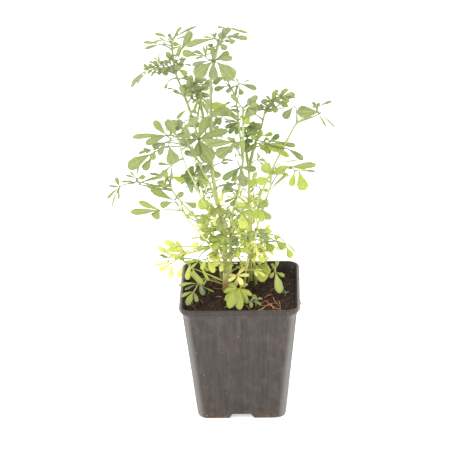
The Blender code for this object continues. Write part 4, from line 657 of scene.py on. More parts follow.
        *fan(4, (194, 84, 24), [(187, 78, 22, 0.5, 35), (190, 75, 26, 0.4, 35), (199, 74, 26, 0.42, 35),
            (204, 80, 26, 0.45, 35), (202, 91, 20, 0.5, 30), (194, 93, 20, 0.5, 35),
            (186, 88, 22, 0.5, 35)]),
        *fan(4, (200, 91, 20), [(209, 97, 16, 0.36, 40), (205, 84, 20, 0.4, 35),
            (196, 98, 18, 0.36, 40, 0.1), (209, 88, 18, 0.4, 35), (201, 100, 14, 0.34, 40, 0.1)]),
        *fan(3, (203, 84, 24), [(211.5, 86, 20, 0.4, 35), (211, 80.5, 22, 0.4, 35)]),
        *fan(3, (200, 97, 18), [(204, 119, 12, 0.09, 30, 0.1), (209, 113, 12, 0.1, 30, 0.1),
            (197.5, 118, 12, 0.09, 30, 0.1), (192, 103, 16, 0.26, 45, 0.3), (194, 111, 14, 0.2, 45, 0.35),
            (207, 102, 16, 0.26, 45, 0.3), (206, 110, 12, 0.2, 45, 0.35)]),
    ]),
    Stem("leaf_yellow_left", "stem_main", 0.6, 0.45, -100, [
        Vector((-14, 3, 127)), Vector((-22, -2, 128)), Vector((-29, -4, 127)), Vector((-39, -6, 125)),
        Vector((-47, -8, 123))
    ], [
        Leaf(128, (199, 261, -8), (208.5, 281, -13), "one", 0.15, 20, 0.55),
        Leaf(None, (191, 262, -8), (187, 280, -12), "one", 0.36, 20, 0.6),
        Leaf(126, (195, 253, -6), (196.5, 241.5, -9), "one", 0.42, 20),
        Leaf(125, (184, 251, -6), (175, 240, -6), "one", 0.22, 30),
        Leaf(None, (184, 252, -7), (164, 241, -12), "one", 0.28, 30),
        Leaf(None, (173, 256, -9), (157, 247, -18), "one", 0.24, 30),
        Leaf(124, (184, 252, -12), (167, 249.5, -20), "one", 0.26, 30, 0.6),
        Leaf(123, (172, 263, -8), (154.5, 265.5, -10), "one", 0.19, 30),
        Leaf(None, (171, 265, -9), (159, 271, -14), "one", 0.34, 25),
        Leaf(None, (173, 265, -9), (171.5, 278, -14), "one", 0.42, 20),
        Leaf(124, (184, 264, -9), (178, 278, -14), "one", 0.4, 20),
        *fan(2, (184, 256, -8), [(190, 250, -10, 0.5, 35), (178, 247, -12, 0.24, 35),
            (169, 256, -14, 0.3, 30, 0.7), (183, 251, -12, 0.5, 35, 0.7), (176, 260, -12, 0.2, 30, 0.6)]),
        *fan(2, (170, 258, -8), [(167.5, 263, -10, 0.5, 30, 0.45), (158, 255, -12, 0.12, 35, 0.1),
            (162, 257, -12, 0.2, 35, 0.1), (160, 253.5, -12, 0.14, 35, 0.1)]),
        *fan(1, (199, 261, -8), [(184, 262.5, -10, 0.26, 30, 0.45), (190, 269, -12, 0.26, 30, 0.5),
            (209, 271, -12, 0.3, 30, 0.45), (217, 270, -12, 0.14, 30, 0.35),
            (215, 264, -10, 0.16, 35, 0.3), (206, 259, -6, 0.2, 40, 0.4)]),
        *fan(1, (192, 268, -12), [(203, 285, -16, 0.3, 30, 0.35), (223, 281, -14, 0.05, 40, 0.5)]),
        *fan(2, (180, 246, -10), [(173, 245, -12, 0.3, 45, 0.8), (183, 240, -8, 0.14, 45, 0.1),
            (176, 247, -12, 0.3, 45, 0.7)]),
    ]),
    Stem("leaf_low_left", "crown", 0.45, 0.35, -90, [
        Vector((-11, 8, 93)), (204, 279, 11), (198.5, 284, 0), (194, 291.5, -17)
    ], [
        Leaf(97, (198, 284, -1), (191.5, 271.5, 11), "one", 0.4, 65, 0.35),
        Leaf(97, (197, 284, -3), (178.5, 286, -11), "one", 0.32, 70, 0.3),
        Leaf(97, (197, 285, -3), (185, 290, -10), "one", 0.32, 70, -0.1),
        Leaf(97, (199, 285, -3), (203.5, 295.5, -12), "one", 0.46, 65, -0.1),
        Leaf(99, (193, 290.5, -16), (181, 297, -22), "one", 0.38, 70, 0.2),
        Leaf(99, (192, 291, -15), (187, 305.5, -29), "one", 0.4, 65, 0.15),
        Leaf(99, (193, 291, -17), (197, 302, -25), "one", 0.42, 65, 0.1),
        *fan(1, (203, 287, -6), [(214, 292, -12, 0.12, 45, 0.2), (206, 280, -2, 0.3, 50, 0.3)]),
    ]),
    Stem("leaf_front", "stem_fork", 0.7, 0.5, -90, [
        Vector((-9, 6, 91)), Vector((-7, -3, 94)), Vector((-2, -13, 95))
    ], [
        Leaf(95, (237, 289, -15), (224, 292, -13), "one", 0.56, 65),
        Leaf(None, (238, 290, -16), (229, 308.5, -33), "one", 0.42, 65),
        Leaf(None, (239, 290, -16), (240, 310, -33), "one", 0.42, 65),
        Leaf(None, (240, 289, -15), (252, 295, -14), "one", 0.52, 65),
        Leaf(None, (238, 288, -13), (229.5, 284, -6), "one", 0.5, 60),
        *fan(1, (240, 288, -14), [(225, 300.5, -22, 0.4, 60), (234.5, 306, -30, 0.36, 60),
            (247, 303.5, -24, 0.42, 60), (247, 283.5, -6, 0.5, 55)]),
    ]),
    Stem("leaf_star", "crown", 0.6, 0.45, -90, [
        Vector((-9, 8, 96)), Vector((-5, 7, 100)), Vector((-2, 6, 102))
    ], [
        Leaf(102, (237, 276, -4), (228.5, 281.5, -13), "one", 0.36, 60, 0.95),
        Leaf(None, (237, 275, -3), (229, 275, 0), "one", 0.44, 60, 1.0),
        Leaf(None, (238, 276, -4), (242, 285.5, -14), "one", 0.46, 60),
        Leaf(None, (239, 275, -3), (249.5, 275, -4), "one", 0.48, 60),
        Leaf(None, (238, 274, -2), (246, 267, 3), "one", 0.4, 60, 1.0),
        *fan(1, (242, 270, 8), [(241, 260, 10, 0.42, 40, 0.7), (248.5, 264, 10, 0.34, 40, 0.7),
            (236, 266, 8, 0.3, 40, 0.5)]),
        *fan(1, (238, 277, 2), [(235, 287, -6, 0.4, 45, 0.8), (243, 287, -6, 0.5, 45, 0.75)]),
    ]),
    Stem("leaf_round", "soil", 0.7, 0.5, -80, [
        Vector((6, 22, 88)), Vector((9, 22, 95)), Vector((15, 20, 103))
    ], [
        Leaf(103, (262, 265, 19), (262, 282, 1), "one", 0.66, 40),
        Leaf(None, (261, 265, 20), (253.5, 273, 10), "one", 0.62, 50),
        Leaf(None, (263, 265, 20), (269.5, 274, 8), "one", 0.56, 50),
        Leaf(None, (261, 266, 21), (258.5, 261, 24), "one", 0.8, 40, 0.85),
        *fan(1, (262, 266, 20), [(267, 264, 20, 0.6, 40, 0.5)]),
    ]),
    Stem("leaf_pale_right", "soil", 0.65, 0.45, -80, [
        Vector((18, 22, 88)), Vector((21, 18, 97)), Vector((26, 14, 104))
    ], [
        Leaf(104, (275, 272, 12), (279.5, 293.5, -6), "one", 0.4, 25),
        Leaf(None, (276, 271.5, 13), (284.5, 276.5, 11), "one", 0.44, 35),
        Leaf(None, (275, 270, 15), (277.5, 260, 16), "one", 0.42, 30),
        Leaf(None, (274, 270, 14), (271.5, 263.5, 17), "one", 0.5, 40),
        Leaf(None, (274, 272, 12), (270.5, 278, 6), "one", 0.5, 40),
    ]),
    Stem("seedling", "soil", 0.5, 0.4, -90, [
        Vector((12, -18, 88)), Vector((12, -17, 91)), Vector((12, -16, 94))
    ], [
        Leaf(93, (248, 300, -15), (243.5, 297, -12), "one", 0.6, 55),
        Leaf(93, (255, 300, -14), (262.5, 298.5, -10), "one", 0.4, 55),
        Leaf(94, (255, 301, -17), (261.5, 305.5, -18), "one", 0.5, 55),
        Leaf(93, (251, 301, -20), (251, 308, -26), "one", 0.52, 50),
        Leaf(94, (252, 299.5, -14), (254.5, 294.5, -9), "one", 0.7, 50),
        *fan(1, (251, 301, -17), [(246, 303.5, -20, 0.5, 50)]),
    ]),
    Stem("stem_back_left", "soil", 0.8, 0.5, 110, [
        Vector((-15, 29, 88)), Vector((-18, 34, 110)), Vector((-24, 41, 138)), Vector((-31, 47, 165)),
        Vector((-34, 50, 184))
    ], [
        Leaf(184, Vector((-36, 52, 190)), Vector((-42, 58, 202)), "trio", 0.36, 40),
        Leaf(178, Vector((-28, 52, 186)), Vector((-18, 60, 190)), "trio", 0.38, 45),
        Leaf(168, Vector((-27, 54, 174)), Vector((-20, 62, 174)), "trio", 0.38, 50),
        Leaf(152, Vector((-24, 52, 156)), Vector((-16, 66, 154)), "trio", 0.38, 50),
        Leaf(122, Vector((-22, 48, 122)), Vector((-28, 60, 114)), "trio", 0.4, 50),
    ]),
    Stem("stem_back_right", "soil", 0.8, 0.5, 75, [
        Vector((21, 31, 88)), (264, 255, 37), (259, 232, 43), (255, 208, 48), (253, 189, 52)
    ], [
        Leaf(152, (252, 184, 54), (257, 172, 60), "one", 0.42, 40),
        Leaf(140, (261, 200, 50), (268, 203, 54), "trio", 0.38, 45),
        Leaf(146, (247, 192, 56), (240, 187, 66), "trio", 0.38, 50),
        Leaf(105, (268, 240, 46), (281, 238, 54), "trio", 0.4, 50),
    ]),
]
print("stems and leaves in the plan", len(PLAN), sum(len(stem.leaves) for stem in PLAN))

# %% [markdown]
# ## From the plan to stems and leaflets
#
# Each leaf is laid out by rule. A stalk leaves the stem, bends into the leaf's own line and becomes its rib.
# Pairs of leaflets leave the rib, and one more ends it. The kinds below say where the pairs sit, how far
# they open and how long they are. Leaflets in the shade low down stay narrower than those in the light, and
# a stalk is thickest where it leaves its stem. The result is a skeleton: lines with a thickness for stems,
# stalks and ribs, and one point for each leaflet that remembers which way it grows and how big it is.

# %% Kinds of leaf
Pair = namedtuple("Pair", "place angle length leaflets")
KINDS = {
    "one": [],
    "trio": [Pair(0.0, 50, 0.76, 1)],
    "five": [Pair(0.0, 62, 0.56, 1), Pair(0.30, 46, 0.54, 1)],
    "fern": [Pair(0.0, 62, 0.62, 3), Pair(0.32, 50, 0.46, 1)],
}
FULLNESS = 1.18
LOW_FULLNESS = 0.88
NARROW_BELOW = 110.0
WIDE_ABOVE = 175.0
SIDE_TRIO = Pair(0.34, 42, 0.55, 1)
RIB_RADIUS = 0.42
RIB_END_RADIUS = RIB_RADIUS * 0.8
LEAST_RIB = 0.1
print("kinds of leaf", list(KINDS))


# %% A skeleton to fill
ROLLS = (-0.22, 0.22)
ARCHES = (0.05, 0.13)
CUPS = (-0.08, 0.20)
TONES = (-0.12, 0.12)


class Skeleton:
    """Lines and leaflet points of one stem, with what each point has to remember."""

    def __init__(self, seed):
        self.points = []
        self.edges = []
        self.facts = []
        self.chance = Random(seed)

    def add_point(self, point, radius, **facts):
        """One point with its facts; returns its number."""
        self.points.append(Vector(point))
        self.facts.append(dict(radius=radius, **facts))
        return len(self.points) - 1

    def add_line(self, points, radii, tone, yellow):
        """A line of points that a stem, a stalk or a rib follows."""
        before = None
        for point, radius in zip(points, radii):
            number = self.add_point(point, radius, tone=tone, yellow=yellow)
            if before is not None:
                self.edges.append((before, number))
            before = number

    def add_leaflet(self, foot, along, normal, length, width, tone, yellow):
        """One leaflet; no two have quite the same fold, bend and tilt."""
        chance = self.chance
        lit = min(1.0, max(0.0, (foot[2] - NARROW_BELOW) / (WIDE_ABOVE - NARROW_BELOW)))
        width *= LOW_FULLNESS + (FULLNESS - LOW_FULLNESS) * lit
        across = normal.cross(along)
        rolled = (normal + across * chance.uniform(*ROLLS)).normalized()
        self.add_point(foot, 0.0, leaflet=True, along=along, normal=rolled, length=length, width=width,
                       arch=chance.uniform(*ARCHES), cup=chance.uniform(*CUPS),
                       wave=chance.uniform(0, tau), tone=tone + chance.uniform(*TONES), yellow=yellow)


print("skeleton ready")


# %% Lay one leaf out
def leaf_normal(axis, faces, tilt):
    """The way a leaf's upper side looks when the leaf points along axis."""
    flat = cos(radians(tilt))
    look = Vector((cos(radians(faces)) * flat, sin(radians(faces)) * flat, sin(radians(tilt))))
    return (look - axis * look.dot(axis)).normalized()


def swept(axis, normal, turn):
    """The leaf's line turned sideways in the leaf's own plane."""
    return axis * cos(turn) + normal.cross(axis).normalized() * sin(turn)


def add_side(skeleton, pair, foot, axis, normal, length, width, tone, yellow):
    """The two side leaflets, or side branches, of one place on a rib."""
    for side in (1, -1):
        out = swept(axis, normal, side * radians(pair.angle))
        side_length = length * pair.length
        if pair.leaflets == 1:
            skeleton.add_leaflet(foot, out, normal, side_length, side_length * width, tone, yellow)
            continue
        end = foot + out * side_length * SIDE_TRIO.place
        skeleton.add_line([foot, end], [RIB_RADIUS, RIB_END_RADIUS], tone, yellow)
        add_side(skeleton, SIDE_TRIO, end, out, normal, side_length, width, tone, yellow)
        rest = side_length * (1 - SIDE_TRIO.place)
        skeleton.add_leaflet(end, out, normal, rest, rest * width, tone, yellow)


STALK_RADIUS = 0.60
STALK_FOOT_SWELL = 1.5
STALK_BEND = 0.35
STALK_STEP = 3.5
LEAST_STALK = 2.85


def stalk_radius(share):
    """A stalk is swollen over its first quarter and thins to the rib."""
    swell = STALK_FOOT_SWELL - (STALK_FOOT_SWELL - 1) * min(1, 4 * share)
    return STALK_RADIUS * swell + (RIB_RADIUS - STALK_RADIUS) * share


def add_leaf(skeleton, leaf, start, faces, tone, yellow):
    """Stalk, rib and leaflets of one leaf; returns the hub that the next leaf may grow from."""
    hub = placed(leaf.hub)
    tip = placed(leaf.tip)
    if (hub - start).length < LEAST_STALK:
        hub = start.copy()
    axis = (tip - hub).normalized()
    length = (tip - hub).length
    normal = leaf_normal(axis, faces, leaf.tilt)
    reach = (hub - start).length
    if reach > 0:
        bend = hub - axis * reach * STALK_BEND
        steps = max(2, ceil(reach / STALK_STEP))
        shares = [n / steps for n in range(steps + 1)]
        line = [start * (1 - t) ** 2 + bend * 2 * t * (1 - t) + hub * t * t for t in shares]
        skeleton.add_line(line, [stalk_radius(t) for t in shares], tone, yellow)
    rib_end = hub
    for pair in KINDS[leaf.kind]:
        foot = hub + axis * pair.place * length
        if (foot - rib_end).length > LEAST_RIB:
            skeleton.add_line([rib_end, foot], [RIB_RADIUS, RIB_END_RADIUS], tone, yellow)
        rib_end = foot
        add_side(skeleton, pair, foot, axis, normal, length, leaf.width, tone, yellow)
    rest = (tip - rib_end).length
    skeleton.add_leaflet(rib_end, axis, normal, rest, rest * leaf.width, tone, yellow)
    return hub


print("leaf layout ready")

# %% [markdown]
# ## Stem lines
#
# A stem is a smooth line through the places of its plan. It starts inside the soil, or beside the stem that
# carries it. Real stems swell a little where a leaf leaves them, and taper towards the tip, so the thickness
# is worked out point by point.

# %% Stem lines
SOIL_Z = 87.0
STEM_DEPTH = 9.0
BRANCH_SEAT = 0.6
STEM_STEP = 4.0
NODE_SWELL = 0.22
SWELL_REACH = 4.0
FAR_AWAY = 99
STEM_FULLNESS = 1.18


def smooth_path(points, step):
    """Points about one step apart on a smooth curve through the given points."""
    given = [Vector(p) for p in points]
    given = [given[0] * 2 - given[1]] + given + [given[-1] * 2 - given[-2]]
    path = []
    for before, a, b, after in zip(given, given[1:], given[2:], given[3:]):
        steps = max(1, round((b - a).length / step))
        for number in range(steps):
            t = number / steps
            path.append((a * 2 + (b - before) * t + (before * 2 - a * 5 + b * 4 - after) * t * t
                         + (a * 3 - before - b * 3 + after) * t ** 3) / 2)
    path.append(given[-2])
    return path


def nearest_on_path(path, point):
    """The closest point of a path's legs to a point, its leg and its share of the way along."""
    best = None
    for number, (a, b) in enumerate(zip(path, path[1:])):
        leg = b - a
        t = min(1.0, max(0.0, (point - a).dot(leg) / leg.length_squared))
        distance = (a + leg * t - point).length
        if best is None or distance < best[0]:
            best = (distance, a + leg * t, number, (number + t) / (len(path) - 1))
    return best[1:]


def point_at_height(path, height):
    """The point of a rising path at a height, or its nearer end."""
    for a, b in zip(path, path[1:]):
        if min(a.z, b.z) <= height <= max(a.z, b.z) and a.z != b.z:
            return a.lerp(b, (height - a.z) / (b.z - a.z))
    return min((path[0], path[-1]), key=lambda end: abs(end.z - height)).copy()


def point_in_row(path, down):
    """The point of a rising path that is seen in a row of the picture, or its nearer end."""
    for a, b in zip(path, path[1:]):
        low, high = row_of(a), row_of(b)
        if min(low, high) <= down <= max(low, high) and low != high:
            return a.lerp(b, (down - low) / (high - low))
    return min((path[0], path[-1]), key=lambda end: abs(row_of(end) - down)).copy()


def stalk_start(leaf, path, last_hub):
    """Where a leaf's stalk leaves its stem, or the hub of the leaf before."""
    if leaf.start is None:
        return last_hub
    if isinstance(leaf.start, Row):
        return point_in_row(path, leaf.start.down)
    return point_at_height(path, leaf.start)


def stem_route(stem):
    """A stem's centre line: down into the soil, or seated beside the stem that carries it."""
    path = [placed(spot) for spot in stem.path]
    if stem.root == "soil":
        path.insert(0, Vector((path[0].x, path[0].y, SOIL_Z - STEM_DEPTH)))
    elif stem.root != "crown_top":
        parent = STEMS[stem.root]
        carrier = stem_route(parent)
        on_parent, number, share = nearest_on_path(carrier, path[0])
        radius = parent.foot_radius + (parent.top_radius - parent.foot_radius) * share
        rise = (carrier[number + 1] - carrier[number]).normalized()
        side = path[1] - on_parent
        side = (side - rise * side.dot(rise)).normalized()
        path[0] = on_parent + side * (radius + stem.foot_radius * BRANCH_SEAT)
    return smooth_path(path, STEM_STEP)


def stem_radii(stem, route, joints):
    """A tapering thickness with a swelling at each joint."""
    radii = []
    for number, point in enumerate(route):
        share = number / (len(route) - 1)
        radius = stem.foot_radius + (stem.top_radius - stem.foot_radius) * share
        near = min([(point - joint).length for joint in joints], default=FAR_AWAY)
        radii.append(radius * STEM_FULLNESS * (1 + NODE_SWELL * max(0, 1 - near / SWELL_REACH)))
    return radii


STEMS = {stem.name: stem for stem in PLAN}
CROWN_PATH = [Vector((-11, 8, 88)), Vector((-11, 9, 96)), Vector((-11, 9, 102.7))]
STEMS["crown"] = Stem("crown", "soil", 2.3, 1.8, -90, CROWN_PATH, [])
print("longest stem in points", max(len(stem_route(stem)) for stem in PLAN))

# %% [markdown]
# ## The leaflet's form
#
# Every leaflet of the plant is the same form at another size, bend and fold, so one is drawn once: a closed
# lens of a few dozen faces with a top and an underside that share their rim. Its coordinates aren't a shape
# yet. x says how far out from the midrib a point lies, y how far along the leaflet, and z which side it is
# on. The node tree below turns them into a spoon by rule.

# %% Leaflet forms
def leaflet_form(name, rows, columns):
    """A closed lens in leaflet coordinates, whose last row is a single point."""
    shape = bmesh.new()
    sides = {}
    for row in rows:
        for column in range(columns + 1):
            x = 2 * column / columns - 1
            on_rim = column in (0, columns) or row == rows[0]
            for side in (1, -1):
                key = (row, column, 0 if on_rim else side)
                if key not in sides:
                    sides[key] = shape.verts.new((x, row, key[2]))
    tip = shape.verts.new((0, 1, 0))

    def corner(row, column, side):
        return sides.get((row, column, side)) or sides[(row, column, 0)]

    for side in (1, -1):
        for low, high in zip(rows, rows[1:]):
            for column in range(columns):
                ring = [corner(low, column, side), corner(low, column + 1, side),
                        corner(high, column + 1, side), corner(high, column, side)]
                shape.faces.new(ring if side > 0 else ring[::-1])
        for column in range(columns):
            ring = [corner(rows[-1], column, side), corner(rows[-1], column + 1, side), tip]
            shape.faces.new(ring if side > 0 else ring[::-1])
    mesh = bpy.data.meshes.new(name)
    shape.to_mesh(mesh)
    shape.free()
    form = bpy.data.objects.new(name, mesh)
    bpy.context.scene.collection.objects.link(form)
    print(name, "faces", len(mesh.polygons))
    return form


SMALL_ROWS = (0, 0.2, 0.42, 0.64, 0.82, 0.95)
LARGE_ROWS = (0, 0.1, 0.22, 0.34, 0.46, 0.57, 0.68, 0.78, 0.87, 0.94, 0.985)
small_form = leaflet_form("small_leaflet_form", SMALL_ROWS, 4)
large_form = leaflet_form("large_leaflet_form", LARGE_ROWS, 6)

# %% [markdown]
# ## The tree that grows a stem
#
# One tree grows every stem from its skeleton. The lines become tubes whose thickness follows the skeleton.
# The loose points each get a leaflet form, and a short formula moves the form's points: the width rises from
# a narrow foot to its widest place well past the middle and closes in a round end, the blade arches along
# its length, folds a little at the midrib and waves at its rim. Bending by formula costs nothing per leaflet,
# and keeps the blade one closed surface.

# %% Leafy stem tree
FORM = "form"
USUAL_PEAK = 2.4
LOBES = 19.0


def read(w, name, kind="FLOAT"):
    """A fact that the geometry carries."""
    return w.node("GeometryNodeInputNamedAttribute", name, data_type=kind).outputs[0]


def leaflet_point(w, given):
    """Where a point of the leaflet form goes, as a formula."""
    x, y, side = w.node("ShaderNodeSeparateXYZ", read(w, FORM, "FLOAT_VECTOR")).outputs
    length, width = read(w, "length"), read(w, "width")
    along, normal = read(w, "along", "FLOAT_VECTOR"), read(w, "normal", "FLOAT_VECTOR")
    across = w.vector("CROSS_PRODUCT", along, normal)
    bell = w.math("SINE", w.product(w.math("POWER", y, given["Peak"]), pi))
    outline = w.math("POWER", w.math("MAXIMUM", bell, 0.0), given["Roundness"])
    lobes = w.math("SINE", w.math("MULTIPLY_ADD", y, LOBES, read(w, "wave")))
    rim = w.product(x, x)
    wavy = w.math("MULTIPLY_ADD", w.product(lobes, rim), given["Scallop"], 1.0)
    half = w.product(outline, wavy, w.product(width, 0.5))
    foot = w.product(w.math("SUBTRACT", 1.0, y), given["Foot Half Width"])
    half = w.math("MAXIMUM", half, foot)
    arch = w.product(w.math("SINE", w.product(y, pi)), w.product(length, read(w, "arch")))
    cup = w.product(w.math("ABSOLUTE", x), half, read(w, "cup"))
    ripple = w.product(lobes, rim, w.product(half, given["Ripple"]))
    wall = w.product(side, w.product(given["Blade Thickness"], 0.5))
    rise = w.math("ADD", w.math("ADD", arch, cup), w.math("ADD", ripple, wall))
    in_blade = w.vector("ADD", w.times(along, w.product(y, length)), w.times(across, w.product(x, half)))
    off_blade = w.vector("ADD", w.times(normal, rise), read(w, "foot", "FLOAT_VECTOR"))
    return w.vector("ADD", in_blade, off_blade)


leafy_tree, w, given, ends = new_tree("Leafy stem", "GeometryNodeTree", [
    ("Skeleton", "NodeSocketGeometry", None),
    ("Leaflet Form", "NodeSocketObject", None),
    ("Stem Sides", "NodeSocketInt", 8),
    ("Blade Thickness", "NodeSocketFloat", 0.0004),
    ("Foot Half Width", "NodeSocketFloat", 0.00028),
    ("Peak", "NodeSocketFloat", USUAL_PEAK),
    ("Roundness", "NodeSocketFloat", 0.5),
    ("Scallop", "NodeSocketFloat", 0.03),
    ("Ripple", "NodeSocketFloat", 0.10),
    ("Stem Material", "NodeSocketMaterial", None),
    ("Leaf Material", "NodeSocketMaterial", None),
], [("Leafy Stem", "NodeSocketGeometry")])
is_leaflet = read(w, "leaflet", "BOOLEAN")
split = w.node("GeometryNodeSeparateGeometry", given["Skeleton"], is_leaflet, domain="POINT")
line = w.node("GeometryNodeMeshToCurve", split.outputs["Inverted"])
ring = w.node("GeometryNodeCurvePrimitiveCircle", given["Stem Sides"], feeds={"Radius": 1.0})
tube = w.node("GeometryNodeCurveToMesh", line.outputs[0], ring.outputs[0],
              feeds={"Scale": read(w, "radius"), "Fill Caps": True})
tube = w.node("GeometryNodeSetMaterial", tube.outputs[0], feeds={"Material": given["Stem Material"]})
form_of = w.node("GeometryNodeObjectInfo", given["Leaflet Form"], feeds={"As Instance": False})
in_form = w.node("GeometryNodeInputPosition").outputs[0]
marked = w.node("GeometryNodeStoreNamedAttribute", form_of.outputs["Geometry"], data_type="FLOAT_VECTOR",
                domain="POINT", feeds={"Name": FORM, "Value": in_form})
spread_out = w.node("GeometryNodeInstanceOnPoints", split.outputs["Selection"],
                    feeds={"Instance": marked.outputs[0]})
real = w.node("GeometryNodeRealizeInstances", spread_out.outputs[0])
blades = w.node("GeometryNodeSetPosition", real.outputs[0], feeds={"Position": leaflet_point(w, given)})
blades = w.node("GeometryNodeSetMaterial", blades.outputs[0], feeds={"Material": given["Leaf Material"]})
whole = w.node("GeometryNodeJoinGeometry")
w.tree.links.new(tube.outputs[0], whole.inputs[0])
w.tree.links.new(blades.outputs[0], whole.inputs[0])
smooth = w.node("GeometryNodeSetShadeSmooth", whole.outputs[0])
w.feed(ends[0], w.node("GeometryNodeRealizeInstances", smooth.outputs[0]).outputs[0])
print("nodes in the leafy stem tree", len(leafy_tree.nodes))


# %% Set a tree to work
def set_inputs(modifier, **values):
    """Set a modifier's inputs by the sockets' identifiers."""
    for item in modifier.node_group.interface.items_tree:
        if item.item_type == "SOCKET" and item.in_out == "INPUT" and item.name.replace(" ", "_") in values:
            modifier[item.identifier] = values[item.name.replace(" ", "_")]


def as_plain_mesh(item):
    """Swap an object for a plain mesh of what its modifiers make."""
    bpy.context.view_layer.update()
    evaluated = item.evaluated_get(bpy.context.evaluated_depsgraph_get())
    mesh = bpy.data.meshes.new_from_object(evaluated)
    name = item.name
    bpy.data.objects.remove(item)
    made = bpy.data.objects.new(name, mesh)
    made.name = name
    bpy.context.scene.collection.objects.link(made)
    return made


def grown(item, tree, **values):
    """What a tree makes of an object, as a plain mesh object of the same name."""
    modifier = item.modifiers.new(tree.name, "NODES")
    modifier.node_group = tree
    set_inputs(modifier, **values)
    return as_plain_mesh(item)


def attach(piece, node):
    """A finished piece stands for a node of the model and rides on its body."""
    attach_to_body(piece, "root")
    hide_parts(node)
    print(piece.name, "faces", len(piece.data.polygons))
    return piece


print("growing helpers ready")


# %% From a skeleton to a mesh the tree can read
FACTS = {"radius": "FLOAT", "leaflet": "BOOLEAN", "along": "FLOAT_VECTOR", "normal": "FLOAT_VECTOR",
         "foot": "FLOAT_VECTOR", "length": "FLOAT", "width": "FLOAT", "arch": "FLOAT", "cup": "FLOAT",
         "wave": "FLOAT", "tone": "FLOAT", "yellow": "FLOAT"}
SIZES = ("radius", "length", "width")
SCAFFOLD = ("radius", "leaflet", "along", "normal", "foot", "length", "width", "arch", "cup", "wave")


def skeleton_object(name, skeleton):
    """The skeleton as an object whose points carry their facts as attributes."""
    mesh = bpy.data.meshes.new(name)
    mesh.from_pydata([place(p) for p in skeleton.points], skeleton.edges, [])
    for fact, kind in FACTS.items():
        layer = mesh.attributes.new(fact, kind, "POINT")
        for number, facts in enumerate(skeleton.facts):
            value = mesh.vertices[number].co if fact == "foot" else facts.get(fact, 0)
            if fact in SIZES:
                value *= MM
            if kind == "FLOAT_VECTOR":
                layer.data[number].vector = value or (0, 0, 0)
            else:
                layer.data[number].value = value
    item = bpy.data.objects.new(name, mesh)
    bpy.context.scene.collection.objects.link(item)
    return item


print("facts carried", len(FACTS))

# %% [markdown]
# ## Finishes that several pieces share
#
# Nothing that grew or was used is one flat colour. Two effects come back all over this object, so each is
# built once as a shader group. Mottle drifts between two colours in soft patches. Specks scatters small
# spots, which are gland dots on a leaf, grit in the soil and dried dirt on the pot.

# %% Mottle group
mottle_tree, w, given, ends = new_tree("Mottle", "ShaderNodeTree", [
    ("Vector", "NodeSocketVector", None),
    ("Size", "NodeSocketFloat", 200.0),
    ("First", "NodeSocketColor", (1, 1, 1, 1)),
    ("Second", "NodeSocketColor", (0, 0, 0, 1)),
    ("Low", "NodeSocketFloat", 0.35),
    ("High", "NodeSocketFloat", 0.65),
], [("Color", "NodeSocketColor"), ("Value", "NodeSocketFloat")])
cloud = w.node("ShaderNodeTexNoise", given["Vector"],
               feeds={"Scale": given["Size"], "Detail": 4.0, "Roughness": 0.6}).outputs["Fac"]
share = w.spread(cloud, given["Low"], given["High"])
w.feed(ends["Color"], w.mix(share, given["First"], given["Second"]))
w.feed(ends["Value"], share)
print("mottle nodes", len(mottle_tree.nodes))

# %% Specks group
specks_tree, w, given, ends = new_tree("Specks", "ShaderNodeTree", [
    ("Vector", "NodeSocketVector", None),
    ("Size", "NodeSocketFloat", 1500.0),
    ("Radius", "NodeSocketFloat", 0.2),
    ("Share", "NodeSocketFloat", 0.5),
], [("Value", "NodeSocketFloat")])
cells = w.node("ShaderNodeTexVoronoi", given["Vector"], feeds={"Scale": given["Size"]})
dot = w.spread(cells.outputs["Distance"], w.product(given["Radius"], 0.5), given["Radius"], 1.0, 0.0)
picked = w.node("ShaderNodeSeparateColor", cells.outputs["Color"]).outputs[0]
kept = w.math("LESS_THAN", picked, given["Share"])
w.feed(ends["Value"], w.product(dot, kept))
print("specks nodes", len(specks_tree.nodes))


# %% Start a material
def new_material(name, roughness, specular=0.5):
    """A material with its Principled shader, ready to be wired."""
    made = bpy.data.materials.new(name)
    made.use_nodes = True
    shader = made.node_tree.nodes["Principled BSDF"]
    shader.inputs["Roughness"].default_value = roughness
    shader.inputs["Specular IOR Level"].default_value = specular
    return made, Wiring(made.node_tree), shader


def group(w, tree, **feeds):
    """A shared effect placed in a material with its own values."""
    made = w.node("ShaderNodeGroup", node_tree=tree)
    for name, value in feeds.items():
        w.feed(made.inputs[name], value)
    return made


def object_place(w):
    """Where a point lies, in the object's own metres."""
    return w.node("ShaderNodeTexCoord").outputs["Object"]


def bump(w, height, strength, distance):
    """A surface normal that makes a height look like relief."""
    made = w.node("ShaderNodeBump", feeds={"Height": height, "Strength": strength, "Distance": distance})
    return made.outputs["Normal"]


def attribute(w, name, output="Fac"):
    """A fact that the mesh carries, for a shader."""
    return w.node("ShaderNodeAttribute", attribute_name=name).outputs[output]


print("material helpers ready")

# %% [markdown]
# ## Leaf finish
#
# A rue leaflet is matt, with a waxy bloom that makes the upper side grey-green and the underside paler
# still. A pale midrib runs down it, faint side veins leave it, and tiny oil glands show as dots. The form's
# own coordinates tell the shader where it is on the blade, so the veins follow each leaflet wherever it
# points. The tone and the yellowing come with each leaf from its skeleton.

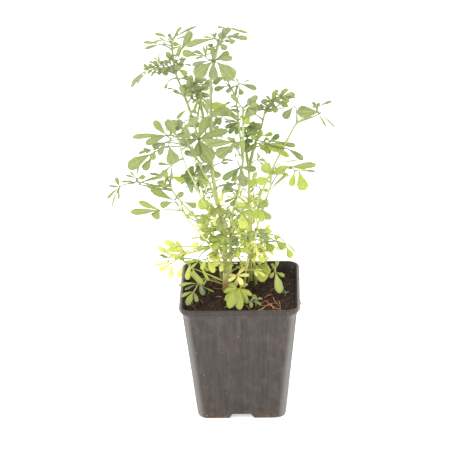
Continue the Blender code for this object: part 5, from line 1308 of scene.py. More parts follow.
# %% Leaf finish
GREY_GREEN = (0.222, 0.237, 0.130, 1)
HIGH_GREEN = (0.215, 0.222, 0.160, 1)
DEEP_GREEN = (0.125, 0.180, 0.018, 1)
LIME = (0.41, 0.46, 0.055, 1)
STRAW = (0.80, 0.75, 0.24, 1)
BLOOM = (0.34, 0.38, 0.25, 1)
PALE_VEIN = (0.50, 0.54, 0.28, 1)
HIGH_LEAVES = (0.19, 0.27)
TURNS_LIME = (0.0, 0.55)
TURNS_STRAW = (0.5, 1.0)
MIDRIB_EDGE = (0.03, 0.14)
SIDE_VEIN_SLANT = 0.35
SIDE_VEINS = 46.0
SIDE_VEIN_EDGE = (0.72, 1.0)
leaf_finish, w, shader = new_material("rue_leaf", 0.58, 0.35)
where = object_place(w)
x, y, side = w.node("ShaderNodeSeparateXYZ", attribute(w, "form", "Vector")).outputs
tone, yellow = attribute(w, "tone"), attribute(w, "yellow")
height = w.node("ShaderNodeSeparateXYZ", where).outputs["Z"]
green = w.mix(w.spread(height, *HIGH_LEAVES), GREY_GREEN, HIGH_GREEN)
green = w.mix(tone, DEEP_GREEN, green)
waxy = w.mix(0.25, green, BLOOM)
green = group(w, mottle_tree, Vector=where, Size=260.0, First=green, Second=waxy).outputs[0]
green = w.mix(w.spread(yellow, *TURNS_LIME), green, LIME)
green = w.mix(w.spread(yellow, *TURNS_STRAW), green, STRAW)
out = w.math("ABSOLUTE", x)
midrib = w.spread(out, *MIDRIB_EDGE, 1.0, 0.0)
slant = w.math("SUBTRACT", y, w.product(out, SIDE_VEIN_SLANT))
side_veins = w.spread(w.math("SINE", w.product(slant, SIDE_VEINS)), *SIDE_VEIN_EDGE)
veins = w.math("MAXIMUM", w.product(midrib, 0.28), w.product(side_veins, 0.10))
green = w.mix(veins, green, PALE_VEIN)
glands = group(w, specks_tree, Vector=where, Size=1900.0, Radius=0.42, Share=0.55).outputs[0]
green = w.mix(w.product(glands, 0.35), green, w.mix(0.5, green, DEEP_GREEN))
under = w.math("LESS_THAN", side, -0.05)
green = w.mix(w.product(under, 0.45), green, BLOOM)
w.feed(shader.inputs["Base Color"], green)
relief = w.math("SUBTRACT", w.product(glands, 0.3), veins)
w.feed(shader.inputs["Normal"], bump(w, relief, 0.5, 0.0002))
shader.inputs["Subsurface Weight"].default_value = 0.4
shader.inputs["Subsurface Radius"].default_value = (0.6, 1.0, 0.2)
shader.inputs["Subsurface Scale"].default_value = 0.0012
print("leaf finish nodes", len(leaf_finish.node_tree.nodes))

# %% [markdown]
# ## Stem finish
#
# Young stems are smooth and pale green with a whitish bloom, straw-coloured lower down, and leaf stalks are a
# darker green. Near the soil they turn a dull dark olive, partly their own colour and partly painted shade.
# Fine lines run along them. Height tells the shader how old a stretch of stem is and how near the soil it is,
# the tone tells a stalk from a stem, and a yellow leaf yellows its stalk as well, though less so higher up.

# %% Stem finish
STEM_GREEN = (0.36, 0.41, 0.17, 1)
STEM_PALE = (0.78, 0.79, 0.33, 1)
# A dull dark olive near the soil: partly the stems' own colour and partly painted shade.
STEM_FOOT_AND_SHADE = (0.20, 0.19, 0.06, 1)
STALK_GREEN = (0.25, 0.30, 0.13, 1)
YOUNG_STEM = (0.13, 0.205)
ABOVE_SOIL = (0.088, 0.116)
STEM_TONE = (0.85, 0.95)
YELLOW_FADES = (0.15, 0.23, 1.0, 0.15)
stem_finish, w, shader = new_material("rue_stem", 0.5, 0.4)
where = object_place(w)
height = w.node("ShaderNodeSeparateXYZ", where).outputs["Z"]
colour = w.mix(w.spread(height, *YOUNG_STEM), STEM_PALE, STEM_GREEN)
# Darker near the soil: a duller colour of the stem's own with painted shade.
colour = w.mix(w.spread(height, *ABOVE_SOIL), STEM_FOOT_AND_SHADE, colour)
colour = w.mix(w.spread(attribute(w, "tone"), *STEM_TONE), STALK_GREEN, colour)
stretched = w.vector("MULTIPLY", where, (1.0, 1.0, 0.12))
streak = group(w, mottle_tree, Vector=stretched, Size=1400.0, First=colour, Second=w.mix(0.2, colour, BLOOM))
aged = w.product(attribute(w, "yellow"), w.spread(height, *YELLOW_FADES))
colour = w.mix(aged, streak.outputs[0], LIME)
w.feed(shader.inputs["Base Color"], colour)
w.feed(shader.inputs["Normal"], bump(w, streak.outputs[1], 0.3, 0.0002))
shader.inputs["Subsurface Weight"].default_value = 0.15
shader.inputs["Subsurface Radius"].default_value = (0.6, 1.0, 0.3)
shader.inputs["Subsurface Scale"].default_value = 0.001
print("stem finish nodes", len(stem_finish.node_tree.nodes))

# %% [markdown]
# ## Grow the plant
#
# Each stem's skeleton is laid out from its plan and grown. Low on the plant the real one is crowded with tiny
# leaves that no plan could list, so a rule adds them: they leave the stem one after another round a spiral,
# as new leaves do, each with its own size. Low leaves have turned lime and yellow for want of light, and the
# upper ones are a soft grey-green.

# %% Colour by height
LOW_Z = 105.0
GREEN_Z = 178.0
LEAST_YELLOW = 0.08
YELLOWS_BY = 0.74
YELLOW_SPREAD = (-0.2, 0.2)


def yellowing(height, chance):
    """How yellow a leaf is: most at the foot of the plant, hardly at all in the upper half."""
    share = 1 - min(1, max(0, (height - LOW_Z) / (GREEN_Z - LOW_Z)))
    yellow = LEAST_YELLOW + YELLOWS_BY * share + chance.uniform(*YELLOW_SPREAD) * (0.3 + 0.7 * share)
    return max(0.0, min(1.0, yellow))


print("yellowing from", LOW_Z, "to", GREEN_Z)

# %% Tuft leaves
Tuft = namedtuple("Tuft", "low high count reach size")
TUFTS = {
    "stem_main": Tuft(112, 146, 12, 10, 8.0),
    "stem_fork": Tuft(104, 150, 14, 10, 8.0),
    "stem_back_top": Tuft(106, 156, 14, 11, 8.5),
    "stem_far_right": Tuft(104, 116, 4, 8, 7.5),
    "stem_front_right": Tuft(106, 140, 9, 9, 8.0),
    "stem_thin_left": Tuft(146, 186, 5, 8, 6.5),
    "stem_low_left": Tuft(124, 150, 5, 8, 6.5),
    "stem_front_left": Tuft(108, 138, 5, 8, 6.5),
    "stem_tall_left": Tuft(205, 258, 6, 8, 7.0),
    "stem_behind": Tuft(186, 240, 8, 8, 7.5),
    "stem_fork_side": Tuft(214, 246, 4, 8, 6.5),
    "stem_back_left": Tuft(110, 165, 8, 9, 9.0),
    "stem_back_right": Tuft(104, 116, 4, 8, 8.5),
}
GOLDEN_ANGLE = radians(137.5)


def add_tuft(skeleton, stem, route, tuft):
    """Small leaves round a stem on a spiral."""
    chance = skeleton.chance
    for number in range(tuft.count):
        height = tuft.low + (tuft.high - tuft.low) * (number + chance.uniform(0.2, 0.8)) / tuft.count
        start = point_at_height(route, height)
        bearing = number * GOLDEN_ANGLE + chance.uniform(-0.4, 0.4)
        out = Vector((cos(bearing), sin(bearing), chance.uniform(0.2, 1.0))).normalized()
        hub = start + out * tuft.reach * chance.uniform(0.55, 1.1)
        size = tuft.size * chance.uniform(0.7, 1.25)
        tip = hub + (out + Vector((0, 0, chance.uniform(-0.7, 0.3)))).normalized() * size
        kind = chance.choice(("trio", "trio", "five"))
        leaf = Leaf(height, hub, tip, kind, chance.uniform(0.44, 0.58), chance.uniform(30, 60))
        add_leaf(skeleton, leaf, start, degrees(bearing), chance.uniform(0.2, 0.8), yellowing(height, chance))


print("tuft leaves", sum(tuft.count for tuft in TUFTS.values()))

# %% Leaves with a colour of their own
LEAF_YELLOW = {"leaf_yellow_left": 0.84, "leaf_star": 1.0, "leaf_round": 0.42, "leaf_pale_right": 0.30,
               "leaf_front": 0.40, "leaf_low_left": 0.10, "seedling": 0.12}
LEAF_TONE = {"leaf_pale_right": 0.9, "leaf_low_left": 0.35, "leaf_round": 0.6}
STEM_YELLOW = {"stem_main": 0.05, "leaf_yellow_left": 0.8, "leaf_star": 0.8}
USUAL_TONE = 0.6
TONE_SPREAD = (-0.15, 0.15)
USUAL_STEM_YELLOW = 0.3
DEEPEN = 0.9
WIDEST = {"leaf_round": 1.1, "leaf_front": 1.7, "leaf_star": 1.9, "seedling": 1.5}
LARGE_LEAVES = {"leaf_round", "leaf_front", "leaf_low_left", "leaf_pale_right", "stem_inner_left"}


def grow_stem(stem, seed):
    """A stem with its planned leaves and its tuft, as a finished piece."""
    skeleton = Skeleton(seed)
    route = stem_route(stem)
    starts = []
    hub = None
    for leaf in stem.leaves:
        start = stalk_start(leaf, route, hub)
        starts.append(start)
        tone = LEAF_TONE.get(stem.name, USUAL_TONE) + skeleton.chance.uniform(*TONE_SPREAD)
        yellow = LEAF_YELLOW.get(stem.name, yellowing(placed(leaf.hub).z, skeleton.chance))
        if leaf.yellow is not None:
            yellow = max(0.0, leaf.yellow)
            tone += DEEPEN * min(0.0, leaf.yellow)
        hub = add_leaf(skeleton, leaf, start, stem.faces, tone, yellow)
    if stem.name in TUFTS:
        add_tuft(skeleton, stem, route, TUFTS[stem.name])
    yellow = STEM_YELLOW.get(stem.name, USUAL_STEM_YELLOW)
    skeleton.add_line(route, stem_radii(stem, route, starts), 1.0, yellow)
    raw = skeleton_object(stem.name + "_grown", skeleton)
    form = large_form if stem.name in LARGE_LEAVES else small_form
    piece = grown(raw, leafy_tree, Leaflet_Form=form, Peak=WIDEST.get(stem.name, USUAL_PEAK),
                  Stem_Material=stem_finish, Leaf_Material=leaf_finish)
    for name in SCAFFOLD:
        layer = piece.data.attributes.get(name)
        if layer:
            piece.data.attributes.remove(layer)
    return attach(piece, stem.name)


# %% Grow every stem
plant = [grow_stem(stem, number) for number, stem in enumerate(PLAN)]
print("faces of the plant", sum(len(piece.data.polygons) for piece in plant))

# %% [markdown]
# ## The pot
#
# The real pot is one thin moulding: a tapered square with rounded corners, fine upright ribs on its flat
# sides, a flared band and a rounded lip, a raised floor, and a foot with a notch in each side. Its section
# at any height is a rounded square, so it is lofted through a stack of them, out over the lip and down the
# inside. Each row below is a height, half the width, and the corner's radius.

# %% Pot sections
SHOULDER_Z = 89.0
FOOT_HALF = 33.25
SHOULDER_HALF = 42.7
FOOT_CORNER = 8.0
RIM_CORNER = 10.0
WALL = 1.17
FLOOR_TOP = 5.2


def wall_row(height, inset=0.0):
    """A section of the tapered wall, or of the inside of it."""
    share = height / SHOULDER_Z
    half = FOOT_HALF + (SHOULDER_HALF - FOOT_HALF) * share - inset
    return height, half, FOOT_CORNER + (RIM_CORNER - FOOT_CORNER) * share - inset


def arc_rows(height, half, corner, radius, first, last, steps):
    """Sections round an edge; the angles run from outwards over up to inwards."""
    turns = [radians(first + (last - first) * n / steps) for n in range(steps + 1)]
    return [(height + radius * sin(t), half + radius * cos(t), corner + radius * cos(t)) for t in turns]


EDGE = 1.3
LIP = 1.2
LIP_DROP = 1.8
FILLET = 0.6
OUTSIDE_HEIGHTS = (4, 10, 20, 32, 44, 56, 68, 78, 84, 86.5, 88.2)
INSIDE_HEIGHTS = (92.5, 90, 80, 60, 40, 20, FLOOR_TOP + FILLET)
lip_foot = POT_HEIGHT - LIP - LIP_DROP
BAND_ROWS = [
    (88.7, SHOULDER_HALF + 0.25, RIM_CORNER),
    (90.5, 43.3, RIM_CORNER),
    (lip_foot - 0.6, 44.1, RIM_CORNER - 0.2),
    (lip_foot, RIM_HALF, RIM_CORNER),
]
outside = arc_rows(EDGE, FOOT_HALF - EDGE, FOOT_CORNER - EDGE, EDGE, -90, 0, 4)
outside += [wall_row(z) for z in OUTSIDE_HEIGHTS] + BAND_ROWS
lip = arc_rows(POT_HEIGHT - LIP, RIM_HALF - LIP, RIM_CORNER - LIP, LIP, 0, 180, 12)
inside = [wall_row(z, WALL) for z in INSIDE_HEIGHTS]
inside.append((FLOOR_TOP, inside[-1][1] - FILLET, inside[-1][2] - FILLET))
pot_rows = outside + lip + inside
print("sections of the pot", len(pot_rows))

# %% Loft the pot
SIDE_STEPS = 120
CORNER_STEPS = 12
FLAT_AFTER = 9


def quarter_turn(quarter):
    """The turn that takes one side of the pot to another."""
    return Matrix.Rotation(quarter * pi / 2, 3, "Z")


def rounded_square(height, half, corner, side_steps, corner_steps):
    """Points round a rounded square, each with how flat its place is: fully so past a ninth of a side."""
    ring = []
    flat = half - corner
    for quarter in range(4):
        turn = quarter_turn(quarter)
        for step in range(corner_steps):
            angle = step / corner_steps * pi / 2
            spot = Vector((flat + corner * cos(angle), flat + corner * sin(angle), height))
            ring.append((turn @ spot, 0.0))
        for step in range(side_steps):
            share = step / side_steps
            fade = min(1.0, FLAT_AFTER * min(share, 1 - share))
            ring.append((turn @ Vector((flat - 2 * flat * share, half, height)), fade))
    return ring


def loft(name, rings):
    """A closed solid through rings, whose points carry how flat and how far round they are."""
    shape = bmesh.new()
    rows = [[shape.verts.new(place(p)) for p, flat in ring] for ring in rings]
    count = len(rows[0])
    for low, high in zip(rows, rows[1:]):
        for n in range(count):
            shape.faces.new((low[n], low[(n + 1) % count], high[(n + 1) % count], high[n]))
    shape.faces.new(rows[0][::-1])
    shape.faces.new(rows[-1])
    bmesh.ops.recalc_face_normals(shape, faces=shape.faces)
    mesh = bpy.data.meshes.new(name)
    shape.to_mesh(mesh)
    shape.free()
    flats = mesh.attributes.new("flat", "FLOAT", "POINT")
    flats.data.foreach_set("value", [flat for ring in rings for p, flat in ring])
    rounds = mesh.attributes.new("round", "FLOAT", "POINT")
    rounds.data.foreach_set("value", [n / count for ring in rings for n in range(count)])
    made = bpy.data.objects.new(name, mesh)
    bpy.context.scene.collection.objects.link(made)
    return made


pot_rings = [rounded_square(*row, SIDE_STEPS, CORNER_STEPS) for row in pot_rows]
pot_blank = loft("pot_moulded", pot_rings)
print("faces of the blank", len(pot_blank.data.polygons))

# %% [markdown]
# ## Ribs of the pot
#
# The ribs are many, fine, straight and not quite even, so a tree raises them from the blank. It reads how
# far round the wall a point is, looks that up in a one-dimensional noise, and moves the point along the
# wall's outward direction. Two masks keep the corners, the band and the foot smooth.

# %% Rib tree
FINE_RIBS = 9.4
rib_tree, w, given, ends = new_tree("Moulded ribs", "GeometryNodeTree", [
    ("Pot", "NodeSocketGeometry", None),
    ("Rib Depth", "NodeSocketFloat", 0.00026),
    ("Ribs Round", "NodeSocketFloat", 170.0),
    ("Lowest", "NodeSocketFloat", 0.003),
    ("Highest", "NodeSocketFloat", 0.0885),
    ("Plastic", "NodeSocketMaterial", None),
], [("Ribbed Pot", "NodeSocketGeometry")])
height = w.node("ShaderNodeSeparateXYZ", w.node("GeometryNodeInputPosition").outputs[0]).outputs["Z"]
rib_at = w.product(read(w, "round"), given["Ribs Round"])
uneven = w.node("ShaderNodeTexNoise", noise_dimensions="1D",
                feeds={"W": rib_at, "Scale": 1.0, "Detail": 1.0}).outputs["Fac"]
waves = w.math("SINE", w.product(rib_at, FINE_RIBS))
rib = w.math("ADD", w.spread(uneven, 0.3, 0.7, -0.7, 0.7), w.product(waves, 0.3))
above = w.math("GREATER_THAN", height, given["Lowest"])
below = w.math("LESS_THAN", height, given["Highest"])
mask = w.product(above, below, read(w, "flat"))
raised = w.product(rib, mask, given["Rib Depth"])
outwards = w.node("GeometryNodeInputNormal").outputs[0]
ribbed = w.node("GeometryNodeSetPosition", given["Pot"], feeds={"Offset": w.times(outwards, raised)})
ribbed = w.node("GeometryNodeSetMaterial", ribbed.outputs[0], feeds={"Material": given["Plastic"]})
w.feed(ends[0], w.node("GeometryNodeRealizeInstances", ribbed.outputs[0]).outputs[0])
print("rib tree nodes", len(rib_tree.nodes))

# %% [markdown]
# ## Pot finish
#
# The plastic is warm grey-brown and matt, and smoother on its upright corners. Painted highlights lighten
# those corners and the lip at the two sides of the rim, and painted shadow darkens a strip under the lip.
# Handling and watering have left long faint upright streaks, darker smudges, pale dust, and rusty specks of
# dried compost, most of them near the foot.
# The numbers below are heights and distances from the pot's axis in metres.

# %% Pot finish
PLASTIC = (0.060, 0.048, 0.041, 1)
PLASTIC_DARK = (0.034, 0.027, 0.023, 1)
# The colour of the painted highlights on the upright corners and at the sides of the rim.
PLASTIC_HIGHLIGHT = (0.20, 0.19, 0.18, 1)
DUST = (0.15, 0.125, 0.10, 1)
RUST = (0.34, 0.16, 0.07, 1)
# Where the painted highlight at the rim's left and right sides lies.
SIDE_OF_RIM = (0.0425, 0.0435)
HEIGHT_OF_RIM = (0.0905, 0.0935)
BELOW_BAND = (0.0905, 0.0885)
# Heights of the painted shadow under the lip.
LIP_SHADOW_STARTS = (0.0905, 0.0918)
LIP_SHADOW_ENDS = (0.0934, 0.0926)
FOOT_DIRT = (0.0, 0.007, 1.0, 0.0)
UPRIGHT_CORNER = ((FOOT_HALF - 6.5) * MM, (FOOT_HALF - 3.0) * MM)
WALL_LEAN = (SHOULDER_HALF - FOOT_HALF) / SHOULDER_Z
WORN_ROUGHNESS = (0.38, 0.50)
CORNER_ROUGHNESS = (0.24, 0.24, 0.24, 1)
pot_finish, w, shader = new_material("nursery_plastic", 0.4, 0.3)
where = object_place(w)
height = w.node("ShaderNodeSeparateXYZ", where).outputs["Z"]
upright = w.vector("MULTIPLY", where, (1.0, 1.0, 0.05))
streaks = group(w, mottle_tree, Vector=upright, Size=420.0, First=PLASTIC, Second=PLASTIC_DARK,
                Low=0.3, High=0.75)
smudges = group(w, mottle_tree, Vector=where, Size=62.0, First=streaks.outputs[0], Second=PLASTIC_DARK,
                Low=0.55, High=0.72)
colour = w.mix(0.75, streaks.outputs[0], smudges.outputs[0])
from_axis = w.vector("SUBTRACT", where, (POT_X, POT_Y, 0))
apart = w.node("ShaderNodeSeparateXYZ", from_axis).outputs
beside = w.math("ABSOLUTE", apart["X"])
# Painted highlight: the lip at the left and right sides and the upright corners are made lighter, as if they
# caught the lamps; the corners are also smoother.
rim_side_highlight = w.product(w.spread(beside, *SIDE_OF_RIM), w.spread(height, *HEIGHT_OF_RIM))
least = w.math("MINIMUM", beside, w.math("ABSOLUTE", apart["Y"]))
upright_edge = w.math("SUBTRACT", least, w.product(height, WALL_LEAN))
corner = w.product(w.spread(upright_edge, *UPRIGHT_CORNER), w.spread(height, *BELOW_BAND))
edge_highlight = w.math("MAXIMUM", w.product(rim_side_highlight, 0.75), w.product(corner, 0.55))
colour = w.mix(edge_highlight, colour, PLASTIC_HIGHLIGHT)
# Painted shadow: a dark strip under the lip.
lip_shadow = w.product(w.spread(height, *LIP_SHADOW_STARTS), w.spread(height, *LIP_SHADOW_ENDS))
colour = w.mix(w.product(lip_shadow, 0.6), colour, PLASTIC_DARK)
dust = group(w, mottle_tree, Vector=where, Size=110.0, Low=0.5, High=0.8).outputs[1]
colour = w.mix(w.product(dust, 0.35), colour, DUST)
specks = group(w, specks_tree, Vector=where, Size=330.0, Radius=0.17, Share=0.12).outputs[0]
colour = w.mix(w.product(specks, 0.8), colour, DUST)
elsewhere = w.vector("ADD", where, (0.3, 0.1, 0.2))
rust_marks = group(w, specks_tree, Vector=elsewhere, Size=190.0, Radius=0.15, Share=0.10).outputs[0]
splashes = group(w, mottle_tree, Vector=where, Size=240.0, Low=0.45, High=0.62).outputs[1]
low_down = w.product(w.spread(height, *FOOT_DIRT), splashes)
rusty = w.math("MAXIMUM", w.product(rust_marks, 0.6), w.product(low_down, 0.35))
colour = w.mix(rusty, colour, RUST)
w.feed(shader.inputs["Base Color"], colour)
worn = w.spread(streaks.outputs[1], 0.0, 1.0, *WORN_ROUGHNESS)
w.feed(shader.inputs["Roughness"], w.mix(corner, worn, CORNER_ROUGHNESS))
grain = w.node("ShaderNodeTexNoise", where, feeds={"Scale": 2600.0, "Detail": 2.0}).outputs["Fac"]
w.feed(shader.inputs["Normal"], bump(w, grain, 0.12, 0.0001))
print("pot finish nodes", len(pot_finish.node_tree.nodes))

# %% [markdown]
# ## Cut the foot
#
# The hollow under the raised floor, the notch in each side and the drain holes are cut from the ribbed pot
# with Booleans, as they are in the mechanical model, so that both agree from below. A notch is given by its
# outline, across and up, and a cutter reaches a little past what it cuts.

# %% Foot cutters
SKIRT = 1.3
FOOT_PAD = 13.0
FLOOR_UNDER = 4.0
NOTCH = [(-10.4, -1), (10.4, -1), (9.75, 0), (7.3, 3.6), (6.7, 4), (-6.7, 4), (-7.3, 3.6), (-9.75, 0)]
NOTCH_REACH = 4
DRAIN_OUT = 17
DRAIN_RADIUS = 4
DRAIN_SIDES = 32
DRAIN_LOW = 2
DRAIN_HIGH = 8


def lifted(points, height):
    """The same outline at another height."""
    return [p + Vector((0, 0, height)) for p in points]


def prism(name, low, high):
    """A closed block between two outlines with the same count of points."""
    return loft(name, [[(p, 0.0) for p in low], [(p, 0.0) for p in high]])


def hollow_cutter():
    """The hollow under the floor: a square whose corners are left standing as pads."""
    half = FOOT_HALF - SKIRT
    corners = []
    for quarter in range(4):
        turn = quarter_turn(quarter)
        corners += [turn @ Vector((half, half - FOOT_PAD, 0)), turn @ Vector((half - FOOT_PAD, half, 0))]
    return prism("hollow", lifted(corners, -1), lifted(corners, FLOOR_UNDER))


def notch_cutter(quarter):
    """The notch in the middle of one side's foot."""
    turn = quarter_turn(quarter)
    inner = [turn @ Vector((x, FOOT_HALF - NOTCH_REACH, z)) for x, z in NOTCH]
    outer = [turn @ Vector((x, FOOT_HALF + NOTCH_REACH, z)) for x, z in NOTCH]
    return prism("notch", inner, outer)


def drain_cutter(quarter):
    """One round hole through the floor."""
    middle = quarter_turn(quarter) @ Vector((DRAIN_OUT, 0, 0))
    angles = [n * tau / DRAIN_SIDES for n in range(DRAIN_SIDES)]
    circle = [middle + Vector((DRAIN_RADIUS * cos(a), DRAIN_RADIUS * sin(a), 0)) for a in angles]
    return prism("drain", lifted(circle, DRAIN_LOW), lifted(circle, DRAIN_HIGH))


cutters = [hollow_cutter()]
for quarter in range(4):
    cutters += [notch_cutter(quarter), drain_cutter(quarter)]
print("foot cutters", len(cutters))

# %% Rib and cut the pot
SHARP_EDGE = radians(40)
rib_step = pot_blank.modifiers.new("Ribs", "NODES")
rib_step.node_group = rib_tree
set_inputs(rib_step, Plastic=pot_finish)
for cutter in cutters:
    cut = pot_blank.modifiers.new("Cut", "BOOLEAN")
    cut.operation = "DIFFERENCE"
    cut.solver = "EXACT"
    cut.object = cutter

pot = as_plain_mesh(pot_blank)
for cutter in cutters:
    bpy.data.objects.remove(cutter)
pot.data.materials.clear()
pot.data.materials.append(pot_finish)
pot.data.shade_smooth()
pot.data.set_sharp_from_angle(angle=SHARP_EDGE)
attach(pot, "pot")

# %% [markdown]
# ## The soil
#
# Dark peat compost: a lumpy surface, crumbs of all sizes, and tangled plant fibres, with a few rusty bark
# fibres on top. The block and its broad lumps follow the mechanical model. A tree then roughens the top and
# scatters crumbs and fibres over it, because nobody places two thousand crumbs by hand.

# %% Soil block
SOIL_SEAT = 0.3
SOIL_HEIGHTS = (FLOOR_TOP + SOIL_SEAT, 40, 70, 85)
SOIL_RINGS = 44
SOIL_SIDE_STEPS = 28
SOIL_CORNER_STEPS = 6
BROAD_LUMP = 0.72
SMALL_LUMP = 0.43


def soil_height(x, y):
    """The broad and the smaller lumps of the surface, as two waves."""
    broad = sin(x * 0.31 + 1.1) * cos(y * 0.27 - 0.4)
    return SOIL_Z + BROAD_LUMP * broad + SMALL_LUMP * sin(x * 0.62 - y * 0.48 + 2.0)


def soil_ring(height):
    """The soil's section at a height, just inside the wall."""
    return rounded_square(*wall_row(height, WALL + SOIL_SEAT), SOIL_SIDE_STEPS, SOIL_CORNER_STEPS)


def soil_rings():
    """Rings up the side of the block, and then inwards over its top."""
    rings = [soil_ring(z) for z in SOIL_HEIGHTS]
    edge = soil_ring(SOIL_Z)
    for number in range(SOIL_RINGS):
        share = 1 - number / SOIL_RINGS
        flat = [(p.x * share, p.y * share) for p, how_flat in edge]
        rings.append([(Vector((x, y, soil_height(x, y))), 1.0 if number else 0.0) for x, y in flat])
    return rings


soil_block = loft("soil_peat", soil_rings())
print("faces of the soil block", len(soil_block.data.polygons))

# %% Soil tree
FACES_UP = 0.3
FIBRE_BEND = (0.5, 0.22, 0.12)
soil_tree, w, given, ends = new_tree("Peat surface", "GeometryNodeTree", [
    ("Block", "NodeSocketGeometry", None),
    ("Lump Height", "NodeSocketFloat", 0.0016),
    ("Lump Scale", "NodeSocketFloat", 260.0),
    ("Crumbs", "NodeSocketFloat", 420000.0),
    ("Crumb Radius", "NodeSocketFloat", 0.00075),
    ("Fibres", "NodeSocketFloat", 26000.0),
    ("Fibre Length", "NodeSocketFloat", 0.007),
    ("Fibre Radius", "NodeSocketFloat", 0.00014),
    ("Peat", "NodeSocketMaterial", None),
], [("Soil", "NodeSocketGeometry")])
top = read(w, "flat")
here = w.node("GeometryNodeInputPosition").outputs[0]
lumps = w.node("ShaderNodeTexNoise", here,
               feeds={"Scale": given["Lump Scale"], "Detail": 4.0, "Roughness": 0.6}).outputs["Fac"]
rise = w.product(w.math("SUBTRACT", lumps, 0.5), given["Lump Height"], top)
lift = w.node("ShaderNodeCombineXYZ", 0.0, 0.0, rise).outputs[0]
rough = w.node("GeometryNodeSetPosition", given["Block"], feeds={"Offset": lift})
outwards = w.node("GeometryNodeInputNormal").outputs[0]
facing_up = w.math("GREATER_THAN", w.node("ShaderNodeSeparateXYZ", outwards).outputs["Z"], FACES_UP)


def scattered(w, density, seed, shape, turn, low, high):
    """Instances of a shape over the top, each with its own shade."""
    spots = w.node("GeometryNodeDistributePointsOnFaces", rough.outputs[0],
                   feeds={"Selection": facing_up, "Density": density, "Seed": seed})
    shade = w.node("FunctionNodeRandomValue", data_type="FLOAT", feeds={"Seed": seed + 1}).outputs["Value"]
    spots = w.node("GeometryNodeStoreNamedAttribute", spots.outputs[0], data_type="FLOAT", domain="POINT",
                   feeds={"Name": "shade", "Value": shade})
    size = w.node("FunctionNodeRandomValue", data_type="FLOAT_VECTOR",
                  feeds={"Min": low, "Max": high, "Seed": seed + 2})
    rotation = w.node("FunctionNodeRandomValue", data_type="FLOAT_VECTOR",
                      feeds={"Min": (-turn, -turn, 0.0), "Max": (turn, turn, tau), "Seed": seed + 3})
    size, rotation = size.outputs["Value"], rotation.outputs["Value"]
    laid = w.node("GeometryNodeInstanceOnPoints", spots.outputs[0],
                  feeds={"Instance": shape, "Rotation": rotation, "Scale": size})
    return laid.outputs[0]


crumb = w.node("GeometryNodeMeshIcoSphere",
               feeds={"Radius": given["Crumb Radius"], "Subdivisions": 1}).outputs["Mesh"]
crumbs = scattered(w, given["Crumbs"], 3, crumb, 3.0, (0.3, 0.3, 0.3), (1.5, 1.2, 1.0))
bend_parts = [w.product(given["Fibre Length"], part) for part in FIBRE_BEND]
bend = w.node("ShaderNodeCombineXYZ", *bend_parts).outputs[0]
far = w.node("ShaderNodeCombineXYZ", given["Fibre Length"], 0.0, 0.0).outputs[0]
arc = w.node("GeometryNodeCurveQuadraticBezier", 6, (0.0, 0.0, 0.0), bend, far)
thread = w.node("GeometryNodeCurvePrimitiveCircle", 4, feeds={"Radius": given["Fibre Radius"]})
fibre = w.node("GeometryNodeCurveToMesh", arc.outputs[0], thread.outputs[0],
               feeds={"Fill Caps": True}).outputs[0]
fibres = scattered(w, given["Fibres"], 11, fibre, 0.25, (0.4, 0.4, 0.6), (1.3, 1.3, 1.4))
whole = w.node("GeometryNodeJoinGeometry")
for part in (rough.outputs[0], crumbs, fibres):
    w.tree.links.new(part, whole.inputs[0])
real = w.node("GeometryNodeRealizeInstances", whole.outputs[0])
dressed = w.node("GeometryNodeSetMaterial", real.outputs[0], feeds={"Material": given["Peat"]})
w.feed(ends[0], dressed.outputs[0])
print("soil tree nodes", len(soil_tree.nodes))

# %% Soil finish
PEAT = (0.022, 0.013, 0.009, 1)
PEAT_LIGHT = (0.075, 0.042, 0.028, 1)
PEAT_PALE = (0.16, 0.085, 0.045, 1)
MOSS = (0.075, 0.085, 0.025, 1)
soil_finish, w, shader = new_material("peat", 0.9, 0.25)
where = object_place(w)
clods = group(w, mottle_tree, Vector=where, Size=420.0, First=PEAT, Second=PEAT_LIGHT, Low=0.42, High=0.72)
shade = attribute(w, "shade")
colour = w.mix(w.product(w.spread(shade, 0.55, 1.0), 0.7), clods.outputs[0], PEAT_LIGHT)
colour = w.mix(w.product(w.spread(shade, 0.9, 1.0), 0.8), colour, PEAT_PALE)
grit = group(w, specks_tree, Vector=where, Size=900.0, Radius=0.35, Share=0.25).outputs[0]
colour = w.mix(w.product(grit, 0.5), colour, PEAT_PALE)
moss = group(w, mottle_tree, Vector=where, Size=130.0, Low=0.60, High=0.72).outputs[1]
colour = w.mix(w.product(moss, 0.45), colour, MOSS)
w.feed(shader.inputs["Base Color"], colour)
fine = w.node("ShaderNodeTexNoise", where, feeds={"Scale": 1600.0, "Detail": 4.0}).outputs["Fac"]
w.feed(shader.inputs["Normal"], bump(w, fine, 0.7, 0.0004))
print("soil finish nodes", len(soil_finish.node_tree.nodes))

# %% Grow the soil
soil = grown(soil_block, soil_tree, Peat=soil_finish)
attach(soil, "soil")

# %% [markdown]
# ## The woody foot
#
# The main stem stands on a short brown foot with cracked bark. It is a stem too, so the leafy tree would do,
# but the bark needs more sides and a rough skin. A tree of its own sweeps a many-sided tube along the foot
# and pushes its skin in and out with a noise that is stretched upwards, as bark cracks are.

